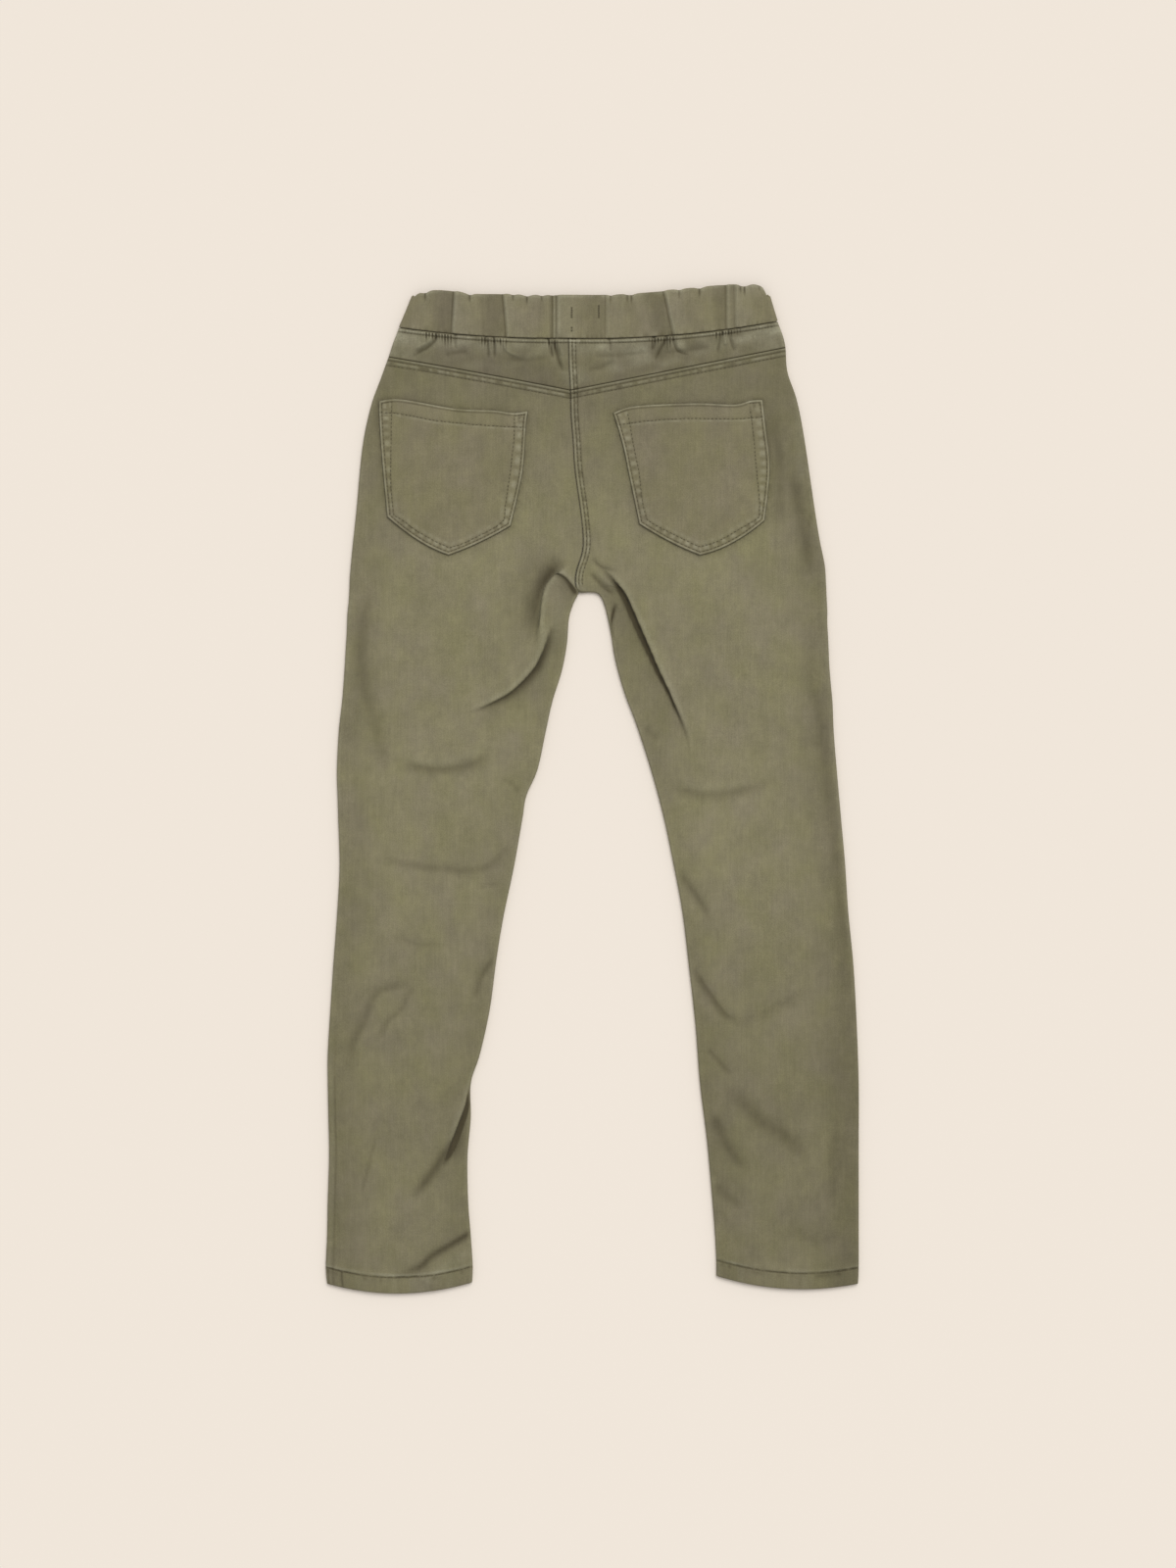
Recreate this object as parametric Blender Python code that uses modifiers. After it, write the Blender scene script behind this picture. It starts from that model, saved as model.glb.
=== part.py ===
"""Child's pull-on jeggings in stretch twill, lying flat on their front with the back on top.

+X runs across the garment, +Y from the hems to the waist and +Z up from the surface that it lies on.
The origin is on that surface, under the middle of the garment. Sizes are in millimetres, and become
metres where a mesh gets its points. Left and right are the wearer's: left is at -X.
"""

import math
from collections import namedtuple

import bmesh
import bpy
import numpy as np
from mathutils import Vector
from mathutils.bvhtree import BVHTree

MM = 0.001
COLLECTION = "jeggings"

# Cloth
WALL = 1.1              # one layer of twill, as thick as it lies
SEAM_GAP = 0.3          # between pieces that are sewn together
EDGE_RADIUS = 1.8       # how the flattened leg rolls round at its sides
CROWN = 0.7             # how far a leg swells between its edges
CROWN_REACH = 25.0      # over which distance from an edge it swells
SLACK = 0.4             # least room left between the front and the back cloth
SLACK_SOFTNESS = 0.3    # how softly a deep crease comes to rest on the front cloth
EDGE_FADE = 6.0         # folds die out over this distance from a rolled edge
EDGE_STEPS = [(0, 0), (0, 0.35), (0.45, 0.85), (1, 1)]   # a rolled edge: share of the radius, of the height
FLAT_END_STEP = 0.2     # the first step on a centre seam, which is flat, as a share of the radius

# Waistband: a folded casing with wide elastic in it
BAND_WALL = 2.0
BAND_RADIUS = 2.8
BAND_CROWN = 1.0
BAND_EDGE_LIFT = 0.8    # the band's round side edges lean inwards, so their lower end starts this much higher
BAND_FILL = 0.4         # how much the elastic plumps the back of the casing
BAND_RISE = 1.7         # how far the yoke and the seat climb to meet the band
BAND_RISE_REACH = 12.0
BAND_BACK_STEPS = 64
BAND_FRONT_STEPS = 18
BAND_EDGE_STEPS = 4
BAND_ROWS = 4

# Hem and pockets
HEM_HEIGHT = 12.0
HEM_LIFT = 0.5          # the turned hem stands this much above the leg
HEM_EDGE = 2.5          # the step into the hem is this wide
POCKET_WALL = 1.2
POCKET_CLEARANCE = 0.35
POCKET_HEM_LIFT = 0.4
POCKET_HEM_SHARE = 0.13  # of the pocket's depth
POCKET_STEPS = 10

# Grid of the panels: columns across, then rows down the yoke, the seat, the crotch and the leg
BACK_COLUMNS = 22
FRONT_COLUMNS = 14
INNER_CROWDING = 0.35   # columns stand closer towards the centre, where the folds are
YOKE_ROWS = 4
SEAT_ROWS = 6
LEG_ROWS = 28

# Olive twill, a little darker where it is doubled
LEG_COLOUR = (0.220, 0.196, 0.119)
YOKE_COLOUR = (0.184, 0.160, 0.098)
POCKET_COLOUR = (0.205, 0.181, 0.107)
CLOTH_ROUGHNESS = 0.9
SHARP_ANGLE = 50        # degrees, above which an edge is shaded as sharp

# Centre seam, from the waistband down to the crotch
CENTRE_SEAM = [(-18.0, 343.7), (-17.5, 324.0), (-16.5, 304.3), (-16.0, 284.5), (-14.5, 266.0), (-13.0, 243.0),
               (-8.0, 206.0), (-7.0, 183.5), (-12.0, 165.5), (-12.5, 155.5), (-10.0, 150.0)]
CROTCH_SECTION = len(CENTRE_SEAM) - 1
YOKE_SECTION = 2        # the yoke ends, and the leg's back begins, at this section
CROTCH_START_SECTION = CROTCH_SECTION - 4   # from here the inner end turns down towards the crotch
CROTCH_END_SECTION = CROTCH_SECTION + 6     # down to here each section has its own row of the grid
CROTCH_EASE = 0.15      # four seams meet at the crotch, so they stand a little further apart there

# Sections down each half, from the waistband seam to the hem. A section runs from its outer end, on the
# side seam, to its inner end, on the centre seam or the inside leg. It bows down by `bow` between them,
# and climbs from its inner end at the slope `climb`. A seat section's inner end is its point of the
# centre seam.
SeatSection = namedtuple("SeatSection", "outer_x outer_y bow climb")
Section = namedtuple("Section", "outer_x outer_y inner_x inner_y bow climb")
CLIMB_REACH = 6.0       # how soon a section levels off again

LEFT_SEAT = [
    SeatSection(-147.5, 352.0, 2.5, 0.0),
    SeatSection(-152.0, 340.5, 1.0, 0.0),
    SeatSection(-155.5, 329.8, -0.5, 0.0),
    SeatSection(-161.0, 314.5, 0.0, 0.0),
    SeatSection(-169.0, 292.0, 0.0, 0.0),
    SeatSection(-175.5, 260.5, 0.0, 0.0),
    SeatSection(-180.0, 213.5, 0.0, 0.0),
    SeatSection(-183.0, 185.0, 0.0, 0.0),
    SeatSection(-185.0, 163.5, 0.0, 0.0),
    SeatSection(-185.5, 151.5, 0.0, 0.0),
    SeatSection(-186.0, 143.0, 0.0, 0.0),
]
LEFT_LEG = [
    Section(-187.0, 132.5, -14.0, 141.5, 0.0, 0.0),
    Section(-187.5, 119.5, -17.5, 129.5, 0.0, 0.0),
    Section(-188.5, 102.5, -19.0, 110.5, 0.0, 0.0),
    Section(-189.5, 86.0, -23.0, 89.5, 0.0, 0.0),
    Section(-191.0, 67.0, -30.0, 67.0, 0.0, 0.0),
    Section(-193.5, 44.5, -35.0, 44.5, 0.0, 0.0),
    Section(-195.0, 14.5, -41.5, 14.5, 0.0, 0.0),
    Section(-194.5, -5.5, -50.0, -5.5, 0.0, 0.0),
    Section(-194.0, -23.0, -53.0, -23.0, 0.0, 0.0),
    Section(-193.0, -60.0, -59.5, -60.0, 0.0, 0.0),
    Section(-195.0, -98.0, -67.5, -98.0, 0.0, 0.0),
    Section(-197.5, -131.5, -73.0, -131.5, 0.0, 0.0),
    Section(-200.0, -169.0, -78.0, -169.0, 0.0, 0.0),
    Section(-202.0, -203.0, -85.5, -203.0, 0.0, 0.0),
    Section(-202.0, -225.5, -92.5, -225.5, 0.0, 0.0),
    Section(-201.5, -251.5, -92.5, -251.5, 0.0, 0.0),
    Section(-201.0, -281.5, -95.0, -281.5, 0.0, 0.0),
    Section(-202.0, -315.5, -94.5, -315.5, 1.0, 0.0),
    Section(-202.5, -342.0, -92.5, -342.0, 4.0, 0.0),
    Section(-203.5, -365.5, -91.0, -365.0, 9.0, 0.0),
    Section(-202.5, -378.5, -91.5, -377.5, 8.0, 0.0),
]
RIGHT_SEAT = [
    SeatSection(142.0, 356.8, 4.2, 0.0),
    SeatSection(146.0, 346.0, 2.0, 0.0),
    SeatSection(148.0, 337.0, 0.0, 0.0),
    SeatSection(149.5, 318.5, 0.0, 0.0),
    SeatSection(156.5, 297.5, 0.0, 0.0),
    SeatSection(162.0, 270.0, 0.0, 0.0),
    SeatSection(170.0, 216.0, 0.0, 0.0),
    SeatSection(174.0, 191.0, 0.0, 0.0),
    SeatSection(178.0, 171.0, 0.0, 0.1),
    SeatSection(179.0, 157.0, 0.0, 0.3),
    SeatSection(179.5, 145.5, 0.0, 1.0),
]
RIGHT_LEG = [
    Section(180.0, 136.0, -1.5, 150.0, 0.0, 1.0),
    Section(180.0, 127.0, 5.0, 148.5, 0.0, 0.4),
    Section(180.5, 117.5, 9.0, 141.5, 0.0, 0.0),
    Section(181.0, 107.0, 12.0, 130.0, 0.0, 0.0),
    Section(181.5, 95.0, 14.5, 117.5, 0.0, 0.0),
    Section(182.5, 82.0, 18.0, 97.0, 0.0, 0.0),
    Section(184.0, 65.0, 25.0, 72.5, 0.0, 0.0),
    Section(185.0, 42.0, 34.5, 47.0, 0.0, 0.0),
    Section(187.5, 11.0, 46.0, 11.0, 0.0, 0.0),
    Section(190.5, -23.0, 55.0, -23.0, 0.0, 0.0),
    Section(193.5, -56.5, 62.0, -56.5, 0.0, 0.0),
    Section(196.0, -94.0, 69.0, -94.0, 0.0, 0.0),
    Section(200.0, -135.5, 74.0, -135.5, 0.0, 0.0),
    Section(202.5, -180.5, 79.0, -180.5, 0.0, 0.0),
    Section(204.0, -225.5, 82.5, -225.5, 0.0, 0.0),
    Section(204.0, -270.5, 88.0, -270.5, 0.0, 0.0),
    Section(204.0, -315.5, 92.0, -315.5, 0.0, 0.0),
    Section(204.0, -343.0, 94.0, -341.5, 2.0, 0.0),
    Section(204.0, -365.5, 95.0, -361.0, 7.0, 0.0),
    Section(203.5, -378.5, 95.0, -372.5, 7.0, 0.0),
]

# Folds of the upper cloth: a ridge has a height above 0 and a crease one below. A fold dies away over
# `left_width` and `right_width`, seen along its path, and towards both ends of the path.
Fold = namedtuple("Fold", "height left_width right_width path")

FOLDS = [
    # left leg, crotch: a rolled ridge, with a trough outside it and a deep crease under it
    Fold(2.9, 6.0, 7.0, [(-19, 166), (-33, 160), (-38, 142), (-42, 120), (-51, 95), (-69, 72), (-88, 59)]),
    Fold(-1.5, 5.0, 12.0, [(-21, 171), (-36, 158), (-45, 142), (-49, 118)]),
    Fold(-1.8, 8.0, 3.5, [(-31, 118), (-40, 96), (-51, 80), (-72, 65)]),
    Fold(-1.6, 4.0, 4.0, [(-27, 163), (-17, 155), (-10, 150)]),
    # left thigh and knee
    Fold(-0.8, 10.0, 10.0, [(-164, 169), (-177, 103), (-163, 40), (-155, 11)]),
    Fold(-1.0, 4.0, 9.0, [(-144, 18), (-114, 16), (-76, 28)]),
    Fold(-1.1, 5.0, 6.0, [(-163, -53), (-116, -61), (-84, -61), (-58, -39)]),
    # left calf: a crease round the front of the calf, then the pocket fold and the crease above the hem
    Fold(-1.0, 4.0, 9.0, [(-136, -146), (-165, -157), (-174, -179), (-182, -195), (-185, -214)]),
    Fold(-1.0, 5.0, 5.0, [(-73, -128), (-84, -143), (-90, -163)]),
    Fold(2.5, 4.0, 10.0, [(-97, -228), (-107, -254), (-120, -277), (-135, -298), (-148, -312)]),
    Fold(-1.8, 9.0, 4.0, [(-91, -226), (-98, -254), (-106, -277), (-121, -293), (-143, -317)]),
    Fold(1.8, 4.0, 8.0, [(-94, -331), (-118, -343), (-139, -359)]),
    Fold(-1.3, 6.0, 4.0, [(-92, -340), (-113, -351), (-133, -367)]),
    # right thigh: the long diagonal fold, its ridge towards the hip and its crease towards the crotch
    Fold(2.6, 16.0, 4.0, [(19, 166), (30, 150), (38, 136), (47, 114), (56, 94), (67, 69), (78, 46), (84, 18)]),
    Fold(-1.8, 4.0, 9.0, [(12, 162), (23, 147), (31, 132), (40, 110), (48, 91), (59, 66), (70, 44), (76, 20)]),
    Fold(-0.7, 3.0, 3.0, [(1, 175), (6, 170), (17, 164)]),
    Fold(-0.9, 3.0, 3.0, [(18, 138), (15, 129), (17, 118)]),
    # right hip and side
    Fold(1.2, 6.0, 7.0, [(154, 280), (158, 260), (160, 240)]),
    Fold(-1.0, 6.0, 7.0, [(158, 214), (162, 190), (165, 166)]),
    Fold(-0.9, 7.0, 9.0, [(160, 115), (173, 61), (179, 15), (185, -38), (191, -104), (196, -194)]),
    # right knee and calf
    Fold(-1.0, 4.0, 8.0, [(65, -1), (89, -5), (120, 1)]),
    Fold(-0.7, 4.0, 5.0, [(70, -69), (82, -82), (88, -93)]),
    Fold(-1.1, 5.0, 8.0, [(79, -139), (93, -158), (101, -172), (114, -176), (136, -167), (168, -150)]),
    Fold(-0.8, 4.0, 5.0, [(87, -197), (98, -209), (107, -220)]),
    Fold(-1.0, 8.0, 9.0, [(103, -231), (130, -256), (146, -263), (167, -288)]),
    Fold(-0.7, 5.0, 5.0, [(97, -256), (106, -277), (116, -288)]),
    Fold(-0.6, 4.0, 5.0, [(98, -306), (112, -318)]),
    # puckers that the elastic pulls into the yokes
    Fold(-0.9, 4.0, 4.0, [(-119, 346), (-125, 337), (-134, 330)]),
    Fold(-0.9, 4.0, 4.0, [(-80, 344), (-77, 337), (-72, 329)]),
    Fold(-0.8, 4.0, 4.0, [(-32, 341), (-27, 330), (-22, 319)]),
    Fold(-0.8, 4.0, 4.0, [(58, 345), (53, 335), (49, 326)]),
    Fold(-0.8, 4.0, 4.0, [(58, 345), (64, 332)]),
    Fold(-0.8, 4.0, 4.0, [(100, 348), (98, 331)]),
    Fold(-0.6, 5.0, 5.0, [(-67, 332), (-36, 331)]),
    Fold(-0.6, 5.0, 5.0, [(-3, 320), (15, 325)]),
]
FOLD_SAMPLES = 40       # points read along each fold's path
CURVE_SAMPLES = 200     # and along each other curve

# Upper edge of the waistband, then the gathers of its back: where each is, how wide and how deep it is,
# how far it leans between the lower and the upper edge, and how far it notches the upper edge
BAND_TOP = [(-138, 376), (-133, 379.5), (-120, 381), (-106, 380), (-93, 378), (-70, 378), (-48, 377),
            (-20, 377), (10, 377), (30, 378), (51, 380), (74, 382), (92, 384), (105, 385), (118, 385),
            (128, 385), (133, 383), (136.5, 376)]
Gather = namedtuple("Gather", "x width depth lean notch")
GATHERS = [
    Gather(-127.5, 3.5, 0.8, 0.0, 1.6), Gather(-114.0, 7.0, 0.9, 2.0, 0.3), Gather(-105.5, 3.0, 0.7, 0.0, 0.0),
    Gather(-94.0, 4.0, 0.6, 0.0, 1.2), Gather(-77.0, 8.0, 0.9, -1.0, 0.3), Gather(-68.0, 3.0, 0.7, 0.0, 0.0),
    Gather(-60.0, 3.0, 0.4, 0.0, 0.9), Gather(-49.5, 3.5, 0.6, 0.0, 1.4), Gather(-38.0, 3.0, 0.4, 0.0, 0.6),
    Gather(-29.0, 2.5, 0.7, 0.0, 0.3), Gather(15.0, 3.5, 0.4, 0.0, 0.7), Gather(29.0, 4.0, 0.6, 0.0, 1.2),
    Gather(50.0, 7.0, 1.0, -5.0, 1.0), Gather(67.0, 3.5, 0.5, 0.0, 0.9), Gather(84.0, 4.5, 0.6, 0.0, 1.2),
    Gather(99.0, 5.0, 0.9, 2.0, 0.3), Gather(104.0, 3.0, 0.6, 0.0, 0.0), Gather(115.5, 4.0, 0.9, 0.0, 1.8),
    Gather(128.0, 3.5, 0.5, 0.0, 0.4),
]

# Pockets: the upper, outer and inner edge of each, the point that its lower edges run down to, and how far
# those bow out
PocketShape = namedtuple("PocketShape", "top outer inner tip outer_bow inner_bow")
POCKETS = {
    "left": PocketShape(
        top=[(-163, 296), (-146, 297.5), (-105, 290.5), (-75, 289), (-60, 287), (-48.5, 288.5)],
        outer=[(-163, 296), (-162.5, 281), (-160.5, 251), (-156.5, 207.5)],
        inner=[(-48.5, 288.5), (-50, 278.5), (-53, 240.5), (-62, 200.5)],
        tip=(-109.5, 178), outer_bow=3.4, inner_bow=1.2),
    "right": PocketShape(
        top=[(16, 287), (28, 291.5), (49, 293.5), (82, 294.5), (109, 293.5), (121, 296.5), (130.5, 297)],
        outer=[(130.5, 297), (133, 275), (136, 249.5), (135, 228.5), (132, 204.5)],
        inner=[(16, 287), (19.5, 275.5), (26, 245), (36, 202)],
        tip=(82.5, 178), outer_bow=4.2, inner_bow=1.2),
}

Half = namedtuple("Half", "name sections side")


def joined_sections(seat, leg):
    """All the sections of a half, with the seat's inner ends on the centre seam."""
    return [Section(row.outer_x, row.outer_y, *centre, row.bow, row.climb)
            for row, centre in zip(seat, CENTRE_SEAM)] + leg


HALVES = [Half("left", joined_sections(LEFT_SEAT, LEFT_LEG), -1),
          Half("right", joined_sections(RIGHT_SEAT, RIGHT_LEG), 1)]


def spline(points, where):
    """Read a smooth curve through `points` at the places `where`, counted in points."""
    points = np.asarray(points, dtype=float)
    last = len(points) - 1
    start = np.clip(np.floor(where).astype(int), 0, last - 1)
    step = (where - start)[:, None]
    before, here = points[np.clip(start - 1, 0, last)], points[start]
    there, after = points[start + 1], points[np.clip(start + 2, 0, last)]
    return here + 0.5 * step * (
        there - before
        + step * (2 * before - 5 * here + 4 * there - after
                  + step * (3 * here - before - 3 * there + after)))


def along_curve(points, share):
    """Read a smooth curve through `points` at shares of its length."""
    dense = spline(points, np.linspace(0, len(points) - 1, CURVE_SAMPLES))
    length = np.concatenate([[0], np.cumsum(np.linalg.norm(np.diff(dense, axis=0), axis=1))])
    where = np.asarray(share) * length[-1]
    return np.stack([np.interp(where, length, dense[:, axis]) for axis in (0, 1)], axis=1)


def smoothstep(value):
    value = np.clip(value, 0, 1)
    return value * value * (3 - 2 * value)


def fold_height(x, y):
    """Height that all the folds add at each place."""
    height = np.zeros_like(x)
    for fold in FOLDS:
        path = spline(fold.path, np.linspace(0, len(fold.path) - 1, FOLD_SAMPLES))
        start, run = path[:-1], np.diff(path, axis=0)
        from_start = np.stack([x, y], axis=1)[:, None, :] - start
        share = np.clip((from_start * run).sum(axis=2) / (run ** 2).sum(axis=1), 0, 1)
        apart = from_start - share[:, :, None] * run
        distances = np.linalg.norm(apart, axis=2)
        nearest = distances.argmin(axis=1)
        pick = np.arange(len(x)), nearest
        on_left = run[nearest, 0] * apart[pick][:, 1] > run[nearest, 1] * apart[pick][:, 0]
        width = np.where(on_left, fold.left_width, fold.right_width)
        travelled = (nearest + share[pick]) / len(run)
        taper = smoothstep(4 * travelled) * smoothstep(4 * (1 - travelled))
        height += fold.height * taper * np.exp(-(distances[pick] / width) ** 2)
    return height


def roll_at(number):
    """How far a row's inner end rolls round an edge: not on the centre seam, fully on the inside leg."""
    return np.clip((number - CROTCH_START_SECTION) / (CROTCH_SECTION - CROTCH_START_SECTION), 0, 1)


def half_gap_at(number):
    """Half the gap between the front and the back, where their edges face each other."""
    return SEAM_GAP / 2 + CROTCH_EASE * np.exp(-(number - CROTCH_SECTION) ** 2)


def even_numbers(half, first, last, rows, measure):
    """Numbers of sections that are even steps apart in `measure`, a sum of some columns of the sections."""
    numbers = np.linspace(first, last, CURVE_SAMPLES)
    height = spline(half.sections, numbers)[:, measure].sum(axis=1)
    return np.interp(np.linspace(0, 1, rows + 1), (height[0] - height) / (height[0] - height[-1]), numbers)


def yoke_numbers(half):
    """Section numbers of the yoke's rows, even along the centre seam so that both halves meet there."""
    return even_numbers(half, 0, YOKE_SECTION, YOKE_ROWS, [3])


def back_numbers(half):
    """Section numbers of the rows of a leg's back: even in the seat, one a section at the crotch, then even."""
    seat = even_numbers(half, YOKE_SECTION, CROTCH_START_SECTION, SEAT_ROWS, [3])
    crotch = np.arange(CROTCH_START_SECTION + 1, CROTCH_END_SECTION)
    leg = even_numbers(half, CROTCH_END_SECTION, len(half.sections) - 1, LEG_ROWS, [1, 3])
    return np.concatenate([seat, crotch, leg])


def plan(half, number, step, steps, trim):
    """Plan of a panel: each point's x and y, its distances to the row's ends and its share of the height.

    Each row has three short steps round each of its ends, and even ones between. `trim` moves the point
    down, or up where it is negative, to leave half a seam's gap.
    """
    outer_x, outer_y, inner_x, inner_y, bow, climb = spline(half.sections, number).T
    inner_x = inner_x + half.side * SEAM_GAP / 2
    width = np.abs(inner_x - outer_x)
    roll = roll_at(number)
    last = len(EDGE_STEPS) - 1
    tucks, lifts = np.transpose(EDGE_STEPS)
    corners = np.arange(last + 1)
    middle = (step - last) / (steps - 2 * last)
    middle = middle + INNER_CROWDING * middle * (1 - middle)
    from_outer = EDGE_RADIUS + (width - 2 * EDGE_RADIUS) * middle
    from_outer = np.where(step < last, EDGE_RADIUS * np.interp(step, corners, tucks), from_outer)
    from_inner = EDGE_RADIUS * np.interp(steps - step, corners, tucks)
    from_inner = from_inner + (steps - step == 1) * (1 - roll) * EDGE_RADIUS * FLAT_END_STEP
    from_outer = np.where(step > steps - last, width - from_inner, from_outer)
    lift = np.interp(step, corners, lifts) * (1 - roll * (1 - np.interp(steps - step, corners, lifts)))
    share = from_outer / width
    x = outer_x + (inner_x - outer_x) * share
    rise = climb * CLIMB_REACH * (1 - np.exp((from_outer - width) / CLIMB_REACH)) * share
    y = outer_y + (inner_y - outer_y) * share - bow * 4 * share * (1 - share) + rise - trim
    return x, y, from_outer, width - from_outer, lift


def band_seam(x):
    """Height, in plan, of the seam between the waistband and what hangs from it."""
    seams = []
    for half in HALVES:
        top = half.sections[0]
        share = np.clip((x - top.outer_x) / (top.inner_x - top.outer_x), 0, 1)
        seams.append(top.outer_y + (top.inner_y - top.outer_y) * share - top.bow * 4 * share * (1 - share))
    return np.where(x < HALVES[0].sections[0].inner_x, seams[0], seams[1])


def back_height(half, number, x, y, from_outer, from_inner, lift):
    """Height of the upper side of the back cloth."""
    roll = roll_at(number)
    fade = ((1 - np.exp(-(from_outer / EDGE_FADE) ** 2))
            * (1 - roll * np.exp(-(from_inner / EDGE_FADE) ** 2)))
    crown = CROWN * (1 - np.exp(-from_outer / CROWN_REACH)) * (1 - roll * np.exp(-from_inner / CROWN_REACH))
    rise = BAND_RISE * np.exp(-((band_seam(x) - y) / BAND_RISE_REACH) ** 2)
    hem = HEM_LIFT * smoothstep((number - len(half.sections) + 2) * HEM_HEIGHT / HEM_EDGE + 0.5)
    body = 2 * EDGE_RADIUS + crown + rise + hem + fade * fold_height(x, y)
    lowest = 2 * WALL + SLACK
    body = lowest + SLACK_SOFTNESS * np.logaddexp(0, (body - lowest) / SLACK_SOFTNESS)
    seam = EDGE_RADIUS + half_gap_at(number)
    return seam + (body - seam) * lift


def new_material(name, colour):
    material = bpy.data.materials.new(name)
    material.use_nodes = True
    shader = material.node_tree.nodes["Principled BSDF"]
    shader.inputs["Base Color"].default_value = (*colour, 1)
    shader.inputs["Roughness"].default_value = CLOTH_ROUGHNESS
    shader.inputs["Metallic"].default_value = 0
    return material


def sheet(name, columns, rows, place, wall, outwards, colour, closed=False):
    """A sheet of cloth: a grid whose points `place` puts in millimetres, given its wall inwards.

    `outwards` is 1 where the outer side faces up and -1 where it faces down. A closed sheet is a tube,
    so its first and last columns are welded.
    """
    mesh = bpy.data.meshes.new(name)
    grid = bmesh.new()
    bmesh.ops.create_grid(grid, x_segments=columns, y_segments=rows, size=0.5)
    share = np.array([vertex.co for vertex in grid.verts]) + 0.5
    column, row = np.rint([share[:, 0] * columns, (1 - share[:, 1]) * rows]).astype(int)
    points = place(column, row) * MM
    for vertex, point in zip(grid.verts, points):
        vertex.co = point
    if closed:
        bmesh.ops.remove_doubles(grid, verts=grid.verts[:], dist=0.00001)
    if outwards < 0:
        bmesh.ops.reverse_faces(grid, faces=grid.faces[:])
    grid.to_mesh(mesh)
    grid.free()
    mesh.shade_smooth()
    mesh.set_sharp_from_angle(angle=math.radians(SHARP_ANGLE))
    mesh.materials.append(new_material(name, colour))
    piece = bpy.data.objects.new(name, mesh)
    bpy.data.collections[COLLECTION].objects.link(piece)
    solidify = piece.modifiers.new("cloth", "SOLIDIFY")
    solidify.thickness = wall * MM
    solidify.offset = -1
    solidify.use_quality_normals = True
    return piece


def back_piece(name, half, numbers, trims, colour):
    """A yoke or a leg's back, with a row at each number. `trims` leave the gap at its upper and lower seam."""
    rows = len(numbers) - 1

    def place(column, row):
        step = column if half.side < 0 else BACK_COLUMNS - column
        number = numbers[row]
        trim = trims[0] * (row == 0) + trims[1] * (row == rows)
        x, y, from_outer, from_inner, lift = plan(half, number, step, BACK_COLUMNS, trim)
        z = back_height(half, number, x, y, from_outer, from_inner, lift)
        return np.stack([x, y, z], axis=1)

    return sheet(name, BACK_COLUMNS, rows, place, WALL, 1, colour)


def front_piece(half):
    """A front leg panel, from the waistband to the hem, flat on the surface."""
    numbers = np.concatenate([yoke_numbers(half)[:-1], back_numbers(half)])

    def place(column, row):
        step = column if half.side < 0 else FRONT_COLUMNS - column
        number = numbers[row]
        x, y, _, _, lift = plan(half, number, step, FRONT_COLUMNS, SEAM_GAP / 2 * (row == 0))
        return np.stack([x, y, (EDGE_RADIUS - half_gap_at(number)) * (1 - lift)], axis=1)

    return sheet(f"front_{half.name}", FRONT_COLUMNS, len(numbers) - 1, place, WALL, -1, LEG_COLOUR)


def gathered(x, up):
    """How far the gathers sink the waistband's back and how far they notch its upper edge."""
    sink, notch = np.zeros_like(x), np.zeros_like(x)
    for gather in GATHERS:
        swell = np.exp(-((x - gather.x - gather.lean * (up - 0.5)) / gather.width) ** 2)
        sink += gather.depth * swell
        notch += gather.notch * swell
    return sink, notch * smoothstep(2 * up - 1)


def waistband():
    """The elastic casing: a tube pressed flat, round at both side edges and gathered on its back."""
    back_end = BAND_BACK_STEPS
    right_end = back_end + BAND_EDGE_STEPS
    front_end = right_end + BAND_FRONT_STEPS
    around = front_end + BAND_EDGE_STEPS
    corners = [0, back_end, right_end, front_end, around]

    def place(column, row):
        up = 1 - row / BAND_ROWS
        low_left, low_right = (half.sections[0].outer_x for half in HALVES)
        left = low_left + (BAND_TOP[0][0] - low_left) * up
        right = low_right + (BAND_TOP[-1][0] - low_right) * up
        share = np.interp(column, corners, [0, 1, 1, 0, 0])
        turn = np.radians(np.interp(column, corners, [90, 90, -90, -90, -270]))
        flat_x = left + BAND_RADIUS + (right - left - 2 * BAND_RADIUS) * share
        x = flat_x + BAND_RADIUS * np.cos(turn)
        sink, notch = gathered(x, up)
        swell = BAND_CROWN * (1 - np.exp(-np.minimum(x - left, right - x).clip(0) / CROWN_REACH))
        on_back = (column <= back_end) | (column == around)
        z = BAND_RADIUS * (1 + np.sin(turn)) + np.where(on_back, swell + (swell > 0) * (BAND_FILL - sink), 0)
        top_share = (flat_x - left - BAND_RADIUS) / (right - left - 2 * BAND_RADIUS)
        top_x, top_y = np.array(BAND_TOP, dtype=float).T
        upper = np.interp(top_x[0] + top_share * (top_x[-1] - top_x[0]), top_x, top_y)
        lower = band_seam(x) + SEAM_GAP / 2 + BAND_EDGE_LIFT * np.abs(np.cos(turn))
        return np.stack([x, lower + (upper - notch - lower) * up, z], axis=1)

    return sheet("waistband", around, BAND_ROWS, place, BAND_WALL, 1, YOKE_COLOUR, closed=True)


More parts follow.
